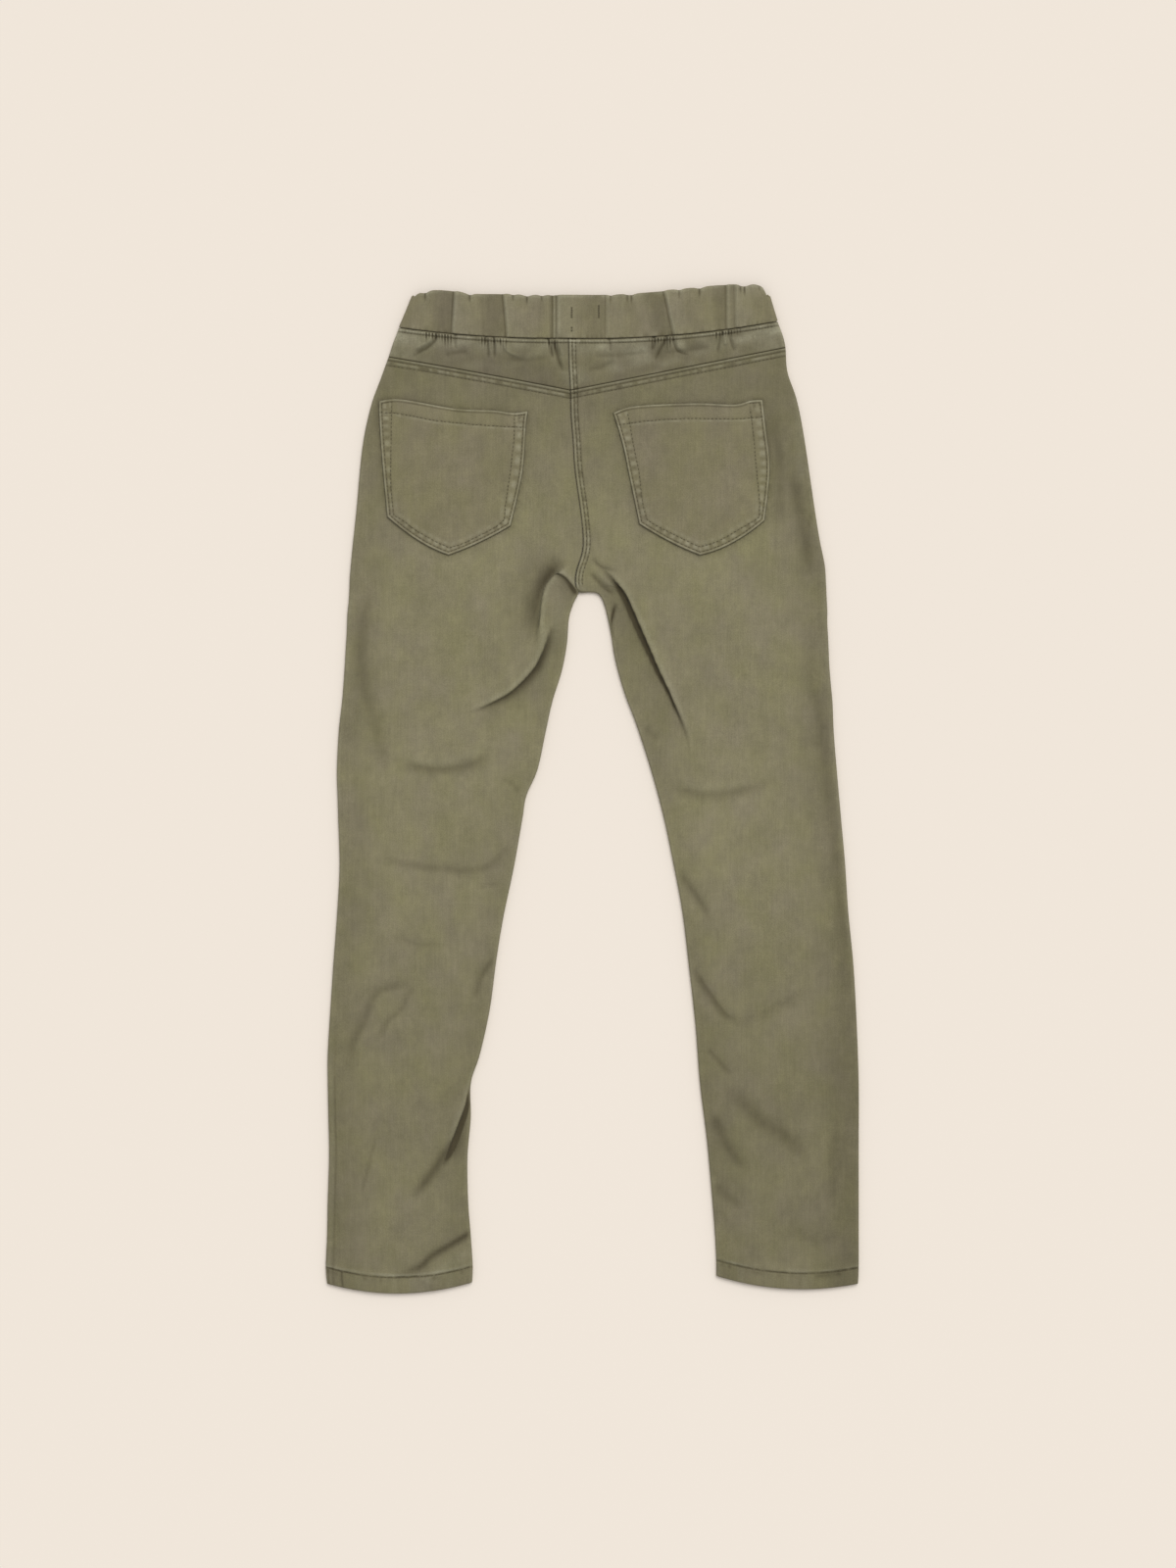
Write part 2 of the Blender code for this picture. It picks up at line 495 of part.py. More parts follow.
def pocket(half, panel):
    """A five-sided patch pocket, made from the panel's own surface, moved out."""
    shape = POCKETS[half.name]
    surface = BVHTree.FromObject(panel, bpy.context.evaluated_depsgraph_get())
    corners = [shape.outer[0], shape.inner[0], shape.outer[-1], shape.inner[-1]]
    top_outer, top_inner, low_outer, low_inner = (np.array(corner, dtype=float) for corner in corners)
    flip = half.side > 0

    def place(column, row):
        across = column / POCKET_STEPS
        across = 1 - across if flip else across
        down = row / POCKET_STEPS
        upper = along_curve(shape.top, column / POCKET_STEPS)
        half_way = np.minimum(across, 1 - across)[:, None] * 2
        nearer = np.where((across < 0.5)[:, None], low_outer, low_inner)
        bow = np.where(across < 0.5, shape.outer_bow, shape.inner_bow)[:, None] * 4 * half_way * (1 - half_way)
        lower = nearer + (np.array(shape.tip) - nearer) * half_way - bow * [0, 1]
        outer, inner = along_curve(shape.outer, down), along_curve(shape.inner, down)
        s, t = across[:, None], down[:, None]
        flat = ((1 - t) * upper + t * lower + (1 - s) * outer + s * inner
                - (1 - s) * (1 - t) * top_outer - s * (1 - t) * top_inner
                - (1 - s) * t * low_outer - s * t * low_inner)
        lift = POCKET_CLEARANCE + POCKET_WALL + POCKET_HEM_LIFT * (down < POCKET_HEM_SHARE)
        heights = [surface.ray_cast(Vector((x * MM, y * MM, 1)), Vector((0, 0, -1)))[0].z / MM for x, y in flat]
        return np.column_stack([flat, np.array(heights) + lift])

    return sheet(f"pocket_{half.name}", POCKET_STEPS, POCKET_STEPS, place, POCKET_WALL, 1, POCKET_COLOUR)


def main():
    for leftover in list(bpy.data.objects):
        bpy.data.objects.remove(leftover, do_unlink=True)
    collection = bpy.data.collections.new(COLLECTION)
    bpy.context.scene.collection.children.link(collection)
    gap = SEAM_GAP / 2
    waistband()
    for half in HALVES:
        back_piece(f"yoke_{half.name}", half, yoke_numbers(half), (gap, -gap), YOKE_COLOUR)
        back = back_piece(f"back_{half.name}", half, back_numbers(half), (gap, 0), LEG_COLOUR)
        front_piece(half)
        pocket(half, back)


main()
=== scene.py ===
"""Child's pull-on jeggings in washed olive twill, lying flat on their front: cloth, seams and stitches.

Each sheet of cloth is worked out from the garment's own sections, in millimetres: +X runs across it, +Y from
the hems to the waist and +Z up from the surface that it lies on. Left and right are the wearer's, left at -X.
"""

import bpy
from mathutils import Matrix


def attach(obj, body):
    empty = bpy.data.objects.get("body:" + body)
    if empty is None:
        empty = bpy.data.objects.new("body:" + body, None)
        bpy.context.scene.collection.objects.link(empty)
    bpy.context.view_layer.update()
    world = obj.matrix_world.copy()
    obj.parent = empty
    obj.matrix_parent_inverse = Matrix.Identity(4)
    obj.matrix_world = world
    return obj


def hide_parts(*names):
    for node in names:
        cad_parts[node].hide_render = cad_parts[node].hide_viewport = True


bl_info = {
    "name": "Jeggings laid flat",
    "version": (1, 0, 0),
    "blender": (4, 5, 0),
    "location": "View3D > Sidebar > Jeggings",
    "description": "Pull-on jeggings in washed stretch twill, laid flat, with seams, creases and stitches",
    "category": "Object",
}

import math
from collections import namedtuple

import bpy
import numpy as np
from bpy.props import FloatProperty, FloatVectorProperty, PointerProperty
from mathutils import Vector
from mathutils.bvhtree import BVHTree

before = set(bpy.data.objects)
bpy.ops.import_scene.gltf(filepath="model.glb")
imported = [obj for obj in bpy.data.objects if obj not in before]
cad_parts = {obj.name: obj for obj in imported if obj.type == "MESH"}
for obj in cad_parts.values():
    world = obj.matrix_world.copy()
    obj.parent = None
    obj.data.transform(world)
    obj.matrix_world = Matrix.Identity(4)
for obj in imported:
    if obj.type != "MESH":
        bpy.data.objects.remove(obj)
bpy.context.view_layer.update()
MM = 0.001

# Cloth
SEAM_GAP = 0.3          # between pieces that are sewn together
EDGE_RADIUS = 1.8       # how the flattened leg rolls round at its sides
CROWN = 0.7             # how far a leg swells between its edges
CROWN_REACH = 25.0      # over which distance from an edge it swells
LOWEST = 2.6            # the back cloth comes no lower than this, where it rests on the front cloth
SLACK_SOFTNESS = 0.3    # how softly a deep crease comes to rest
EDGE_FADE = 6.0         # folds die out over this distance from a rolled edge
CROTCH_EASE = 0.15      # four seams meet at the crotch, so they stand a little further apart there

# Waistband
BAND_RADIUS = 2.8
BAND_CROWN = 1.0
BAND_FILL = 0.4         # how much the elastic plumps the back of the casing
BAND_EDGE_LIFT = 0.8    # the band's round side edges lean inwards, so their lower end starts this much higher
BAND_RISE = 1.7         # how far the yoke and the seat climb to meet the band
BAND_RISE_REACH = 12.0
BAND_ROLL = 1.2         # radius of the fold along its upper edge

# Hem and pockets
HEM_HEIGHT = 12.2       # from the leg's end up to the hem's stitches
HEM_LIFT = 0.5          # the turned hem stands this much above the leg
POCKET_CLEARANCE = 0.35
POCKET_CLOTH = 1.2
POCKET_RIM = 0.35       # how thick its cloth is at the very edge
POCKET_ROLL = 0.9       # radius of its turned edges
POCKET_ROUND = 460.0    # the length of its edge, all round
SHARP_ANGLE = 60        # degrees, above which an edge is shaded as sharp

# How closely points are drawn to an overlap's edge, from how far, and the width of the step down from it
OVERLAP_PULL = 0.55
OVERLAP_PULL_REACH = 6.0
OVERLAP_STEP = 1.5

# Tones, as shares of the painted-shade colour or of the colour of wear and painted highlight. Each half has
# its own painted shade along the side seam, where the cloth rounds off, and down the lower leg, where less
# light falls, and its own darkening low on the yoke.
# painted shade in the soft creases and painted highlight on the soft ridges
CREASE_SHADE = 0.35      # for each millimetre of a soft crease's depth
CREST_HIGHLIGHT = 0.16       # for each millimetre of a soft ridge's height
# painted shade where the cloth rounds off towards the inside leg
INSIDE_LEG_SHADE = 0.10
SEAT_TONE = 0.26
SEAT_FOOT = 185.0       # where the seat's tone begins
Tones = namedtuple("Tones", "side lower_leg yoke")
TONES = {"left": Tones(0.16, 0.16, 0.12), "right": Tones(0.24, 0.22, 0.02)}

# Distances from an edge at which the sheets have points, where that edge rolls round or has a seam's relief
ROLLED = [0.0, 0.09, 0.34, 0.8, 1.25, 1.8]
SEAMED = ROLLED + [2.3, 2.8, 3.3, 3.8, 4.4, 5.0, 5.6, 6.2, 6.9, 7.7, 8.6]
CURVE_SAMPLES = 400
FOLD_SAMPLES = 40

# Distances from an edge, then the even step, of the rows of points down each sheet
YOKE_HEAD = [0.0, 0.35, 0.7, 1.05, 1.4, 1.8, 2.2, 2.6, 3.0, 3.4, 3.9, 4.5, 5.2]
YOKE_TAIL = [0.0, 0.35, 0.8, 1.4]
YOKE_STEP = 1.0
YOKE_COLUMNS = 240
BACK_HEAD = [0.0, 0.35, 0.7, 1.1, 1.5, 1.9, 2.3, 2.7, 3.1, 3.6, 4.2, 4.8, 5.3, 5.8, 6.3, 6.9, 7.7, 8.8]
BACK_TAIL = [0.0, 0.12, 0.4, 0.8, 1.4, 2.3, 3.4, 4.6, 5.8, 7.0, 8.2, 9.3, 10.1, 10.7, 11.1, 11.5, 11.9,
             12.3, 12.7, 13.2, 13.9, 14.8]
BACK_STEP = 1.75
BACK_COLUMNS = 78
FRONT_HEAD = [0.0, 1.5]
FRONT_TAIL = [0.0, 1.0, 2.5]
FRONT_STEP = 4.0
FRONT_COLUMNS = 36
BAND_BACK = 460
BAND_EDGE = 8
BAND_FRONT = 90
BAND_DEPTH = 35.0
BAND_HEAD = [0.0, 0.06, 0.22, 0.5, 0.85, 1.2, 1.7, 2.3]
BAND_TAIL = [0.0, 0.35, 0.8, 1.4, 2.2]
BAND_STEP = 1.1
POCKET_SIZE = 115.0
POCKET_EDGE = [0.0, 0.06, 0.2, 0.42, 0.7, 1.0, 1.35, 1.7, 2.05, 2.4, 2.8, 3.4, 4.1, 4.9, 5.7, 6.5]
POCKET_STEP = 1.25

# The short rows of stitches that hold the label inside the waistband
LABEL_TACKS = [[(-15.4, 367.8), (-15.4, 358.9)], [(-15.4, 352.8), (-15.4, 348.4)],
               [(5.2, 369.3), (5.2, 358.9)]]
TACK_SPACING = 0.7      # between the two threads of each row
TACK_PITCH = 1.5
TACK_LENGTH = 1.3

# Stitches, as shares of the usual ones: the waist's, the hems' pitch, and the tacks at the pockets' corners
WAIST_STITCH = 0.77
HEM_PITCH = 0.93
CORNER_PITCH = 0.6
CORNER_LENGTH = 0.9
PITCH_WANDER = 0.12     # how far a stitch strays along its row, as a share of the pitch
THREAD_LIFT = 0.05      # of a stitch's middle above the cloth

# Centre seam, from the waistband down to the crotch
CENTRE_SEAM = [(-18.0, 343.7), (-17.5, 324.0), (-16.5, 304.3), (-16.0, 284.5), (-14.5, 266.0), (-13.0, 243.0),
               (-8.0, 206.0), (-7.0, 183.5), (-12.0, 165.5), (-12.5, 155.5), (-10.0, 150.0)]
CROTCH_SECTION = len(CENTRE_SEAM) - 1
YOKE_SECTION = 2        # the yoke ends, and the leg's back begins, at this section
CROTCH_START_SECTION = CROTCH_SECTION - 4   # from here the inner end turns down towards the crotch

# Sections down each half, from the waistband seam to the hem. A section runs from its outer end, on the
# side seam, to its inner end, on the centre seam or the inside leg. It bows down by `bow` between them,
# and climbs from its inner end at the slope `climb`. A seat section's inner end is its point of the
# centre seam.
SeatSection = namedtuple("SeatSection", "outer_x outer_y bow climb", defaults=(0.0, 0.0))
Section = namedtuple("Section", "outer_x outer_y inner_x inner_y bow climb", defaults=(0.0, 0.0))
CLIMB_REACH = 6.0       # how soon a section levels off again

LEFT_SEAT = [
    SeatSection(-147.5, 352.0, 2.5),
    SeatSection(-152.0, 340.5, 1.0),
    SeatSection(-155.5, 329.8, -0.5),
    SeatSection(-161.0, 314.5),
    SeatSection(-169.0, 292.0),
    SeatSection(-175.5, 260.5),
    SeatSection(-180.0, 213.5),
    SeatSection(-183.0, 185.0),
    SeatSection(-185.0, 163.5),
    SeatSection(-185.5, 151.5),
    SeatSection(-186.0, 143.0),
]
LEFT_LEG = [
    Section(-187.0, 132.5, -14.0, 141.5),
    Section(-187.5, 119.5, -17.5, 129.5),
    Section(-188.5, 102.5, -19.0, 110.5),
    Section(-189.5, 86.0, -23.0, 89.5),
    Section(-191.0, 67.0, -30.0, 67.0),
    Section(-193.5, 44.5, -35.0, 44.5),
    Section(-195.0, 14.5, -41.5, 14.5),
    Section(-194.5, -5.5, -50.0, -5.5),
    Section(-194.0, -23.0, -53.0, -23.0),
    Section(-193.0, -60.0, -59.5, -60.0),
    Section(-195.0, -98.0, -67.5, -98.0),
    Section(-197.5, -131.5, -73.0, -131.5),
    Section(-200.0, -169.0, -78.0, -169.0),
    Section(-202.0, -203.0, -85.5, -203.0),
    Section(-202.0, -225.5, -92.5, -225.5),
    Section(-201.5, -251.5, -92.5, -251.5),
    Section(-201.0, -281.5, -95.0, -281.5),
    Section(-202.0, -315.5, -94.5, -315.5, 1.0),
    Section(-202.5, -342.0, -92.5, -342.0, 4.0),
    Section(-203.5, -365.5, -91.0, -365.0, 9.0),
    Section(-202.5, -378.5, -91.5, -377.5, 8.0),
]
RIGHT_SEAT = [
    SeatSection(142.0, 356.8, 4.2),
    SeatSection(146.0, 346.0, 2.0),
    SeatSection(148.0, 337.0),
    SeatSection(149.5, 318.5),
    SeatSection(156.5, 297.5),
    SeatSection(162.0, 270.0),
    SeatSection(170.0, 216.0),
    SeatSection(174.0, 191.0),
    SeatSection(178.0, 171.0, 0.0, 0.1),
    SeatSection(179.0, 157.0, 0.0, 0.3),
    SeatSection(179.5, 145.5, 0.0, 1.0),
]
RIGHT_LEG = [
    Section(180.0, 136.0, -1.5, 150.0, 0.0, 1.0),
    Section(180.0, 127.0, 5.0, 148.5, 0.0, 0.4),
    Section(180.5, 117.5, 9.0, 141.5),
    Section(181.0, 107.0, 12.0, 130.0),
    Section(181.5, 95.0, 14.5, 117.5),
    Section(182.5, 82.0, 18.0, 97.0),
    Section(184.0, 65.0, 25.0, 72.5),
    Section(185.0, 42.0, 34.5, 47.0),
    Section(187.5, 11.0, 46.0, 11.0),
    Section(190.5, -23.0, 55.0, -23.0),
    Section(193.5, -56.5, 62.0, -56.5),
    Section(196.0, -94.0, 69.0, -94.0),
    Section(200.0, -135.5, 74.0, -135.5),
    Section(202.5, -180.5, 79.0, -180.5),
    Section(204.0, -225.5, 82.5, -225.5),
    Section(204.0, -270.5, 88.0, -270.5),
    Section(204.0, -315.5, 92.0, -315.5),
    Section(204.0, -343.0, 94.0, -341.5, 2.0),
    Section(204.0, -365.5, 95.0, -361.0, 7.0),
    Section(203.5, -378.5, 95.0, -372.5, 7.0),
]

# Soft folds of the upper cloth: a ridge has a height above 0 and a crease one below. A fold dies away over
# `left_width` and `right_width`, seen along its path, and towards both ends of the path.
Fold = namedtuple("Fold", "height left_width right_width path")

FOLDS = [
    # left leg, crotch: the valley outside the rolled edge, and the soft rise below the hooked crease
    Fold(-1.1, 3.0, 12.0, [(-22, 174), (-31, 165), (-39, 153), (-43, 138), (-46, 120)]),
    Fold(0.8, 7.0, 7.0, [(-22, 150), (-27, 128), (-34, 98), (-46, 74)]),
    # left thigh and knee
    Fold(-0.8, 10.0, 10.0, [(-164, 169), (-177, 103), (-163, 40), (-155, 11)]),
    Fold(-1.1, 3.0, 9.0, [(-146, 20), (-130, 16), (-112, 15), (-92, 19), (-76, 28)]),
    Fold(0.6, 5.0, 4.0, [(-146, 24), (-112, 20), (-78, 33)]),
    Fold(-0.6, 3.0, 5.0, [(-55, -3), (-60, 2), (-70, 8)]),
    Fold(-0.9, 5.0, 7.0, [(-163, -53), (-140, -58), (-116, -61), (-84, -61), (-58, -39)]),
    Fold(-0.5, 3.0, 4.0, [(-90, -75), (-71, -72)]),
    Fold(-0.4, 3.0, 4.0, [(-155, -113), (-130, -119), (-105, -120)]),
    # left calf: a crease round the front of the calf, and the one above the hem
    Fold(-0.8, 4.5, 9.0, [(-136, -148), (-150, -152), (-165, -158), (-174, -179), (-182, -195),
                          (-185, -214)]),
    Fold(-0.7, 3.5, 6.0, [(-137, -150), (-139, -156), (-145, -168), (-157, -180), (-163, -197)]),
    Fold(-1.0, 4.0, 5.0, [(-73, -128), (-84, -143), (-90, -163)]),
    Fold(-0.6, 2.5, 2.5, [(-165, -265), (-169, -281), (-173, -298), (-177, -313)]),
    Fold(0.5, 2.5, 2.5, [(-95, -300), (-94, -312), (-93, -325)]),
    Fold(-1.7, 7.5, 7.0, [(-99, -260), (-105, -269), (-111, -277), (-117, -286), (-124, -296), (-131, -305),
                          (-139, -314)]),
    Fold(1.4, 10.0, 5.0, [(-84, -350), (-108, -362), (-122, -372), (-130, -380)]),
    Fold(-2.0, 6.0, 4.0, [(-74, -332), (-91.7, -339), (-108.4, -348.7), (-122.3, -357), (-133.4, -366.5),
                          (-152, -372)]),
    # right thigh
    Fold(-1.2, 1.8, 2.6, [(1, 177), (4, 172), (9, 169), (20, 166)]),
    Fold(-1.6, 2.0, 3.0, [(-1, 166), (2.3, 161.6), (6.7, 156.6), (11.6, 152.3), (18, 148)]),
    Fold(0.9, 2.5, 2.5, [(2, 168), (8, 161), (14, 156), (20, 151)]),
    Fold(-2.9, 1.8, 2.2, [(19, 143), (17, 137), (15.6, 131), (14.6, 125), (15.6, 119), (18, 112)]),
    Fold(-0.6, 5.0, 6.0, [(39, 47), (46, 42), (52, 37)]),
    # right hip and side
    Fold(-0.7, 7.0, 10.0, [(137, 292), (140, 275), (143, 248), (143, 215), (141, 190)]),
    Fold(1.2, 6.0, 7.0, [(156, 292), (158, 275), (160, 250), (159, 230)]),
    Fold(-0.9, 8.0, 9.0, [(153, 246), (156, 226), (161, 204), (165, 180), (167, 160)]),
    Fold(-0.7, 2.0, 2.5, [(171, 214), (167, 206), (165, 196)]),
    Fold(-0.6, 9.0, 9.0, [(160, 115), (173, 61), (179, 15), (185, -38), (191, -104), (196, -194)]),
    # right knee and calf
    Fold(-0.8, 5.0, 9.0, [(56, 2), (72, -2), (89, -5), (108, -3), (126, 2), (146, 8)]),
    Fold(0.5, 5.0, 4.0, [(67, 4), (89, 0), (122, 6)]),
    Fold(-1.0, 4.0, 6.0, [(66, -62), (72, -71), (79, -80), (86, -91), (92, -104)]),
    Fold(-1.3, 3.0, 7.0, [(76, -134), (82, -144), (88, -153), (95, -163), (103, -173), (112, -177)]),
    Fold(-0.45, 6.0, 9.0, [(104, -176), (116, -177), (132, -171), (152, -160), (170, -148)]),
    Fold(-0.8, 3.0, 5.0, [(87, -197), (98, -209), (107, -220)]),
    Fold(-1.0, 11.0, 12.0, [(98, -226), (116, -241), (130, -255), (146, -264), (156, -274), (167, -288)]),
    Fold(-0.9, 7.0, 8.0, [(91, -247), (97, -259), (106, -277), (120, -293)]),
    Fold(-0.35, 8.0, 8.0, [(187, -256), (185, -275), (184, -297), (182, -322)]),
    Fold(-0.35, 9.0, 9.0, [(146, -334), (160, -341), (174, -344), (192, -338)]),
    Fold(-0.6, 6.0, 7.0, [(94, -301), (104, -312), (116, -320)]),
    # puckers that the elastic pulls into the yokes
    Fold(-1.9, 1.5, 2.4, [(-117, 350), (-118.7, 345), (-120.7, 341), (-126, 336.5), (-131, 334),
                          (-138, 329)]),
    Fold(0.9, 1.8, 1.8, [(-122, 348), (-124, 342), (-130, 338.5), (-137, 335)]),
    Fold(-1.2, 1.3, 1.3, [(-104, 348), (-104.5, 342), (-104, 335)]),
    Fold(-1.5, 1.3, 1.6, [(-81, 346), (-79.5, 338), (-79, 328)]),
    Fold(-1.7, 1.2, 1.7, [(-75.5, 346), (-74.5, 339), (-74.5, 328)]),
    Fold(1.0, 1.4, 1.4, [(-70, 346), (-68, 341), (-66, 336), (-61, 332), (-52, 330)]),
    Fold(-1.6, 1.3, 1.6, [(-34, 345), (-31.5, 337), (-29.5, 328)]),
    Fold(-2.1, 1.4, 2.2, [(-30, 345), (-27.5, 335), (-25.5, 328), (-22, 318)]),
    Fold(0.8, 1.3, 1.3, [(-27, 345), (-24, 336), (-22, 330)]),
    Fold(-1.0, 1.5, 1.5, [(12, 345), (14, 339), (14, 333)]),
    Fold(-1.5, 1.2, 1.5, [(47, 347), (47.5, 341), (46, 334)]),
    Fold(-1.9, 1.2, 1.7, [(57.5, 348), (55.5, 341), (52, 335), (48, 326)]),
    Fold(-1.7, 1.6, 1.2, [(61, 348), (63, 339), (66, 334), (75, 331)]),
    Fold(1.2, 1.4, 1.4, [(59.5, 347), (59.0, 339), (59.5, 332)]),
    Fold(-1.5, 1.2, 1.5, [(99.5, 351), (98.0, 343), (95.5, 332)]),
    Fold(1.1, 1.2, 1.2, [(101.5, 351), (101.5, 344), (102, 338)]),
    Fold(-1.3, 1.5, 1.2, [(104, 351), (106, 342), (109, 333)]),
    Fold(-1.0, 3.0, 3.0, [(-114, 331), (-104, 333), (-94, 334)]),
    Fold(-0.9, 3.0, 3.5, [(-66, 329), (-50, 327.5), (-33, 330)]),
    Fold(-0.8, 3.0, 3.0, [(-1, 331), (20, 331), (44, 334)]),
    Fold(-0.9, 3.0, 3.0, [(59, 334), (74, 335), (91, 338)]),
    Fold(-0.9, 3.5, 3.5, [(-5, 320), (6, 322), (18, 328)]),
]

# Overlaps, where the upper cloth folds over itself. The path is the upper layer's edge, and `side` says
# whether the upper layer lies to the left of the path (1) or to the right (-1). It rises by `height` over
# `reach`, the layer beside it sinks by `depth` over `under`, and the edge leans out over it by `lean`. The
# cloth that it covers takes a painted shadow, `dark`, over the width `hidden`, which is greatest at the share
# `widest` of the path, and the last `soft` share of that width fades out. Just inside the upper layer's edge
# runs a painted highlight.
Overlap = namedtuple("Overlap", "height reach depth under lean dark hidden soft widest side path")

OVERLAPS = [
    Overlap(2.2, 8.0, 1.5, 9.0, 0.3, 0.44, 9.0, 0.90, 0.18, 1, [
        (-15, 174), (-24, 167.5), (-31, 161), (-36, 154), (-38.5, 143), (-40, 130), (-42, 117),
        (-44.5, 106)]),
    Overlap(2.0, 11.0, 1.5, 6.0, 0.7, 0.90, 5.5, 0.80, 0.45, -1, [
        (-28, 130), (-31, 122), (-35, 111), (-39.5, 101), (-44, 92.5), (-53, 82), (-64, 72.5), (-76, 66),
        (-86, 61), (-98, 57)]),
    Overlap(0.9, 5.0, 1.7, 4.5, 0.5, 1.25, 4.8, 0.55, 0.80, 1, [
        (-31, 160), (-28, 163), (-25.3, 163.8), (-20, 161), (-16.5, 157), (-13.1, 153.4), (-9, 150.7),
        (-5, 150), (-1, 150)]),
    Overlap(2.3, 24.0, 1.8, 9.0, 0.7, 1.75, 4.4, 0.38, 0.40, 1, [
        (1, 176), (13, 164), (20, 156), (25.5, 149), (31, 137.5), (37, 123.5), (44, 107.5), (52, 89),
        (59, 74.5), (66, 58), (72, 42), (77, 22)]),
    Overlap(2.4, 16.0, 2.2, 6.5, 0.9, 2.30, 4.2, 0.22, 0.60, -1, [
        (-86, -210), (-91, -223), (-94.5, -233.5), (-96.5, -242), (-100.3, -251.5), (-104.4, -262.5),
        (-108.5, -273.5), (-111, -281), (-115, -290)]),
]

# Upper edge of the waistband, then the gathers of its back. Each has a crisp line, which runs from `low` on
# the lower edge to `top` on the upper one, and dies away over `left_width` and `right_width`. It notches the
# upper edge, and those that the elastic pulls in from above reach only a `share` of the way down.
BAND_TOP = [(-138, 376), (-133, 379.5), (-120, 381), (-106, 380), (-93, 378), (-70, 378), (-48, 377),
            (-20, 377), (10, 377), (30, 378), (51, 380), (74, 382), (92, 384), (105, 385), (118, 385),
            (128, 385), (133, 383), (136.5, 376)]
Gather = namedtuple("Gather", "low top depth left_width right_width notch share")
GATHERS = [
    Gather(-127.3, -127.0, 0.9, 2.6, 1.6, 1.8, 0.30), Gather(-107.5, -105.5, 1.5, 14.5, 1.1, 0.4, 1.0),
    Gather(-93.5, -93.0, 0.8, 2.4, 1.6, 1.3, 0.25), Gather(-65.3, -68.3, 1.5, 18.0, 1.1, 0.4, 1.0),
    Gather(-60.3, -60.0, 0.6, 2.0, 1.5, 0.9, 0.20), Gather(-49.5, -49.3, 0.8, 2.4, 1.8, 1.5, 0.28),
    Gather(-38.3, -38.0, 0.6, 1.8, 1.5, 0.9, 0.22), Gather(-29.9, -29.9, 1.5, 2.4, 0.9, 0.4, 1.0),
    Gather(-27.0, -27.0, 1.3, 1.5, 0.9, 0.3, 1.0), Gather(10.5, 10.5, 0.9, 14.5, 1.4, 0.0, 1.0),
    Gather(14.5, 14.5, 0.6, 1.6, 1.8, 0.8, 0.25), Gather(27.4, 27.4, 0.6, 1.6, 1.2, 0.9, 0.25),
    Gather(30.7, 30.5, 0.7, 1.3, 1.8, 1.1, 0.28), Gather(61.8, 54.6, 1.5, 16.0, 1.1, 0.6, 1.0),
    Gather(67.2, 66.9, 0.6, 2.0, 1.6, 1.0, 0.25), Gather(82.7, 82.4, 0.8, 2.4, 2.0, 1.4, 0.28),
    Gather(102.6, 102.3, 1.2, 9.8, 1.0, 0.4, 1.0), Gather(109.2, 108.8, 0.8, 3.2, 1.0, 0.0, 1.0),
    Gather(114.0, 113.7, 0.7, 1.5, 1.2, 1.1, 0.25), Gather(117.2, 116.8, 0.9, 1.5, 2.2, 1.7, 0.32),
    Gather(128.5, 128.0, 0.5, 2.0, 1.8, 0.5, 0.22),
]

# Pockets: the upper, outer and inner edge of each, the point that its lower edges run down to, and how far
# those bow out
PocketShape = namedtuple("PocketShape", "top outer inner tip outer_bow inner_bow")
POCKETS = {
    "left": PocketShape(
        top=[(-163, 296), (-146, 297.5), (-105, 290.5), (-75, 289), (-60, 287), (-48.5, 288.5)],
        outer=[(-163, 296), (-162.5, 281), (-160.5, 251), (-156.5, 207.5)],
        inner=[(-48.5, 288.5), (-50, 278.5), (-53, 240.5), (-62, 200.5)],
        tip=(-109.5, 178), outer_bow=3.4, inner_bow=1.5),
    "right": PocketShape(
        top=[(16, 287), (28, 291.5), (49, 293.5), (82, 294.5), (109, 293.5), (121, 296.5), (130.5, 297)],
        outer=[(130.5, 297), (133, 275), (136, 249.5), (135, 228.5), (132, 204.5)],
        inner=[(16, 287), (20, 274.5), (24.2, 259), (27.4, 243), (31, 226), (36, 202)],
        tip=(82.5, 178), outer_bow=4.0, inner_bow=1.6),
}

# The pockets' inner row of stitches, a stretch for each side that it runs along, and the row along their hem
POCKET_INNER_ROWS = {
    "left": [
        [(-153, 295), (-153.2, 280), (-153.6, 245), (-153.7, 235), (-152.6, 219.5), (-151.2, 208.5)],
        [(-151.2, 208.5), (-144.4, 204.6), (-135.8, 198), (-127.2, 192.8), (-117.7, 187.7), (-108.8, 183.7)],
        [(-108.8, 183.7), (-98.8, 186.9), (-88.5, 191.9), (-78.1, 197.1), (-71.7, 201), (-66.9, 205.3)],
        [(-66.9, 205.3), (-66.1, 215), (-64.4, 228), (-62.6, 240), (-60.9, 254), (-59.6, 267), (-59, 286)]],
    "right": [
        [(26.9, 289), (29.5, 275), (31.7, 262), (33.8, 251.7), (36, 241.4), (38.6, 219), (42, 205.3)],
        [(42, 205.3), (48.5, 201), (57.1, 196.7), (65.7, 192.4), (74.3, 188.1), (82, 184.4)],
        [(82, 184.4), (90.6, 186.8), (98.4, 189.8), (106.1, 194.1), (114.7, 199.2), (121.6, 203.1),
         (127.7, 207)],
        [(127.7, 207), (128.1, 217), (127.2, 228.5), (125.9, 241.4), (124.6, 255), (122.5, 277.6),
         (120.3, 291)]],
}
POCKET_HEM_ROWS = {
    "left": [(-162, 287), (-152.8, 286.9), (-146.7, 286), (-133.9, 283.7), (-116.7, 280.6), (-90.8, 278),
             (-73, 276.8), (-58, 276), (-50.5, 275.5)],
    "right": [(20.9, 277.6), (28.7, 278.9), (41.6, 280.6), (58.8, 281.9), (76, 282.5), (110.4, 282.3),
              (119.9, 282.9), (130.5, 283.8)],
}
PUCKER_PITCH = 8.4      # from one pale pucker to the next between the pockets' two rows of stitches
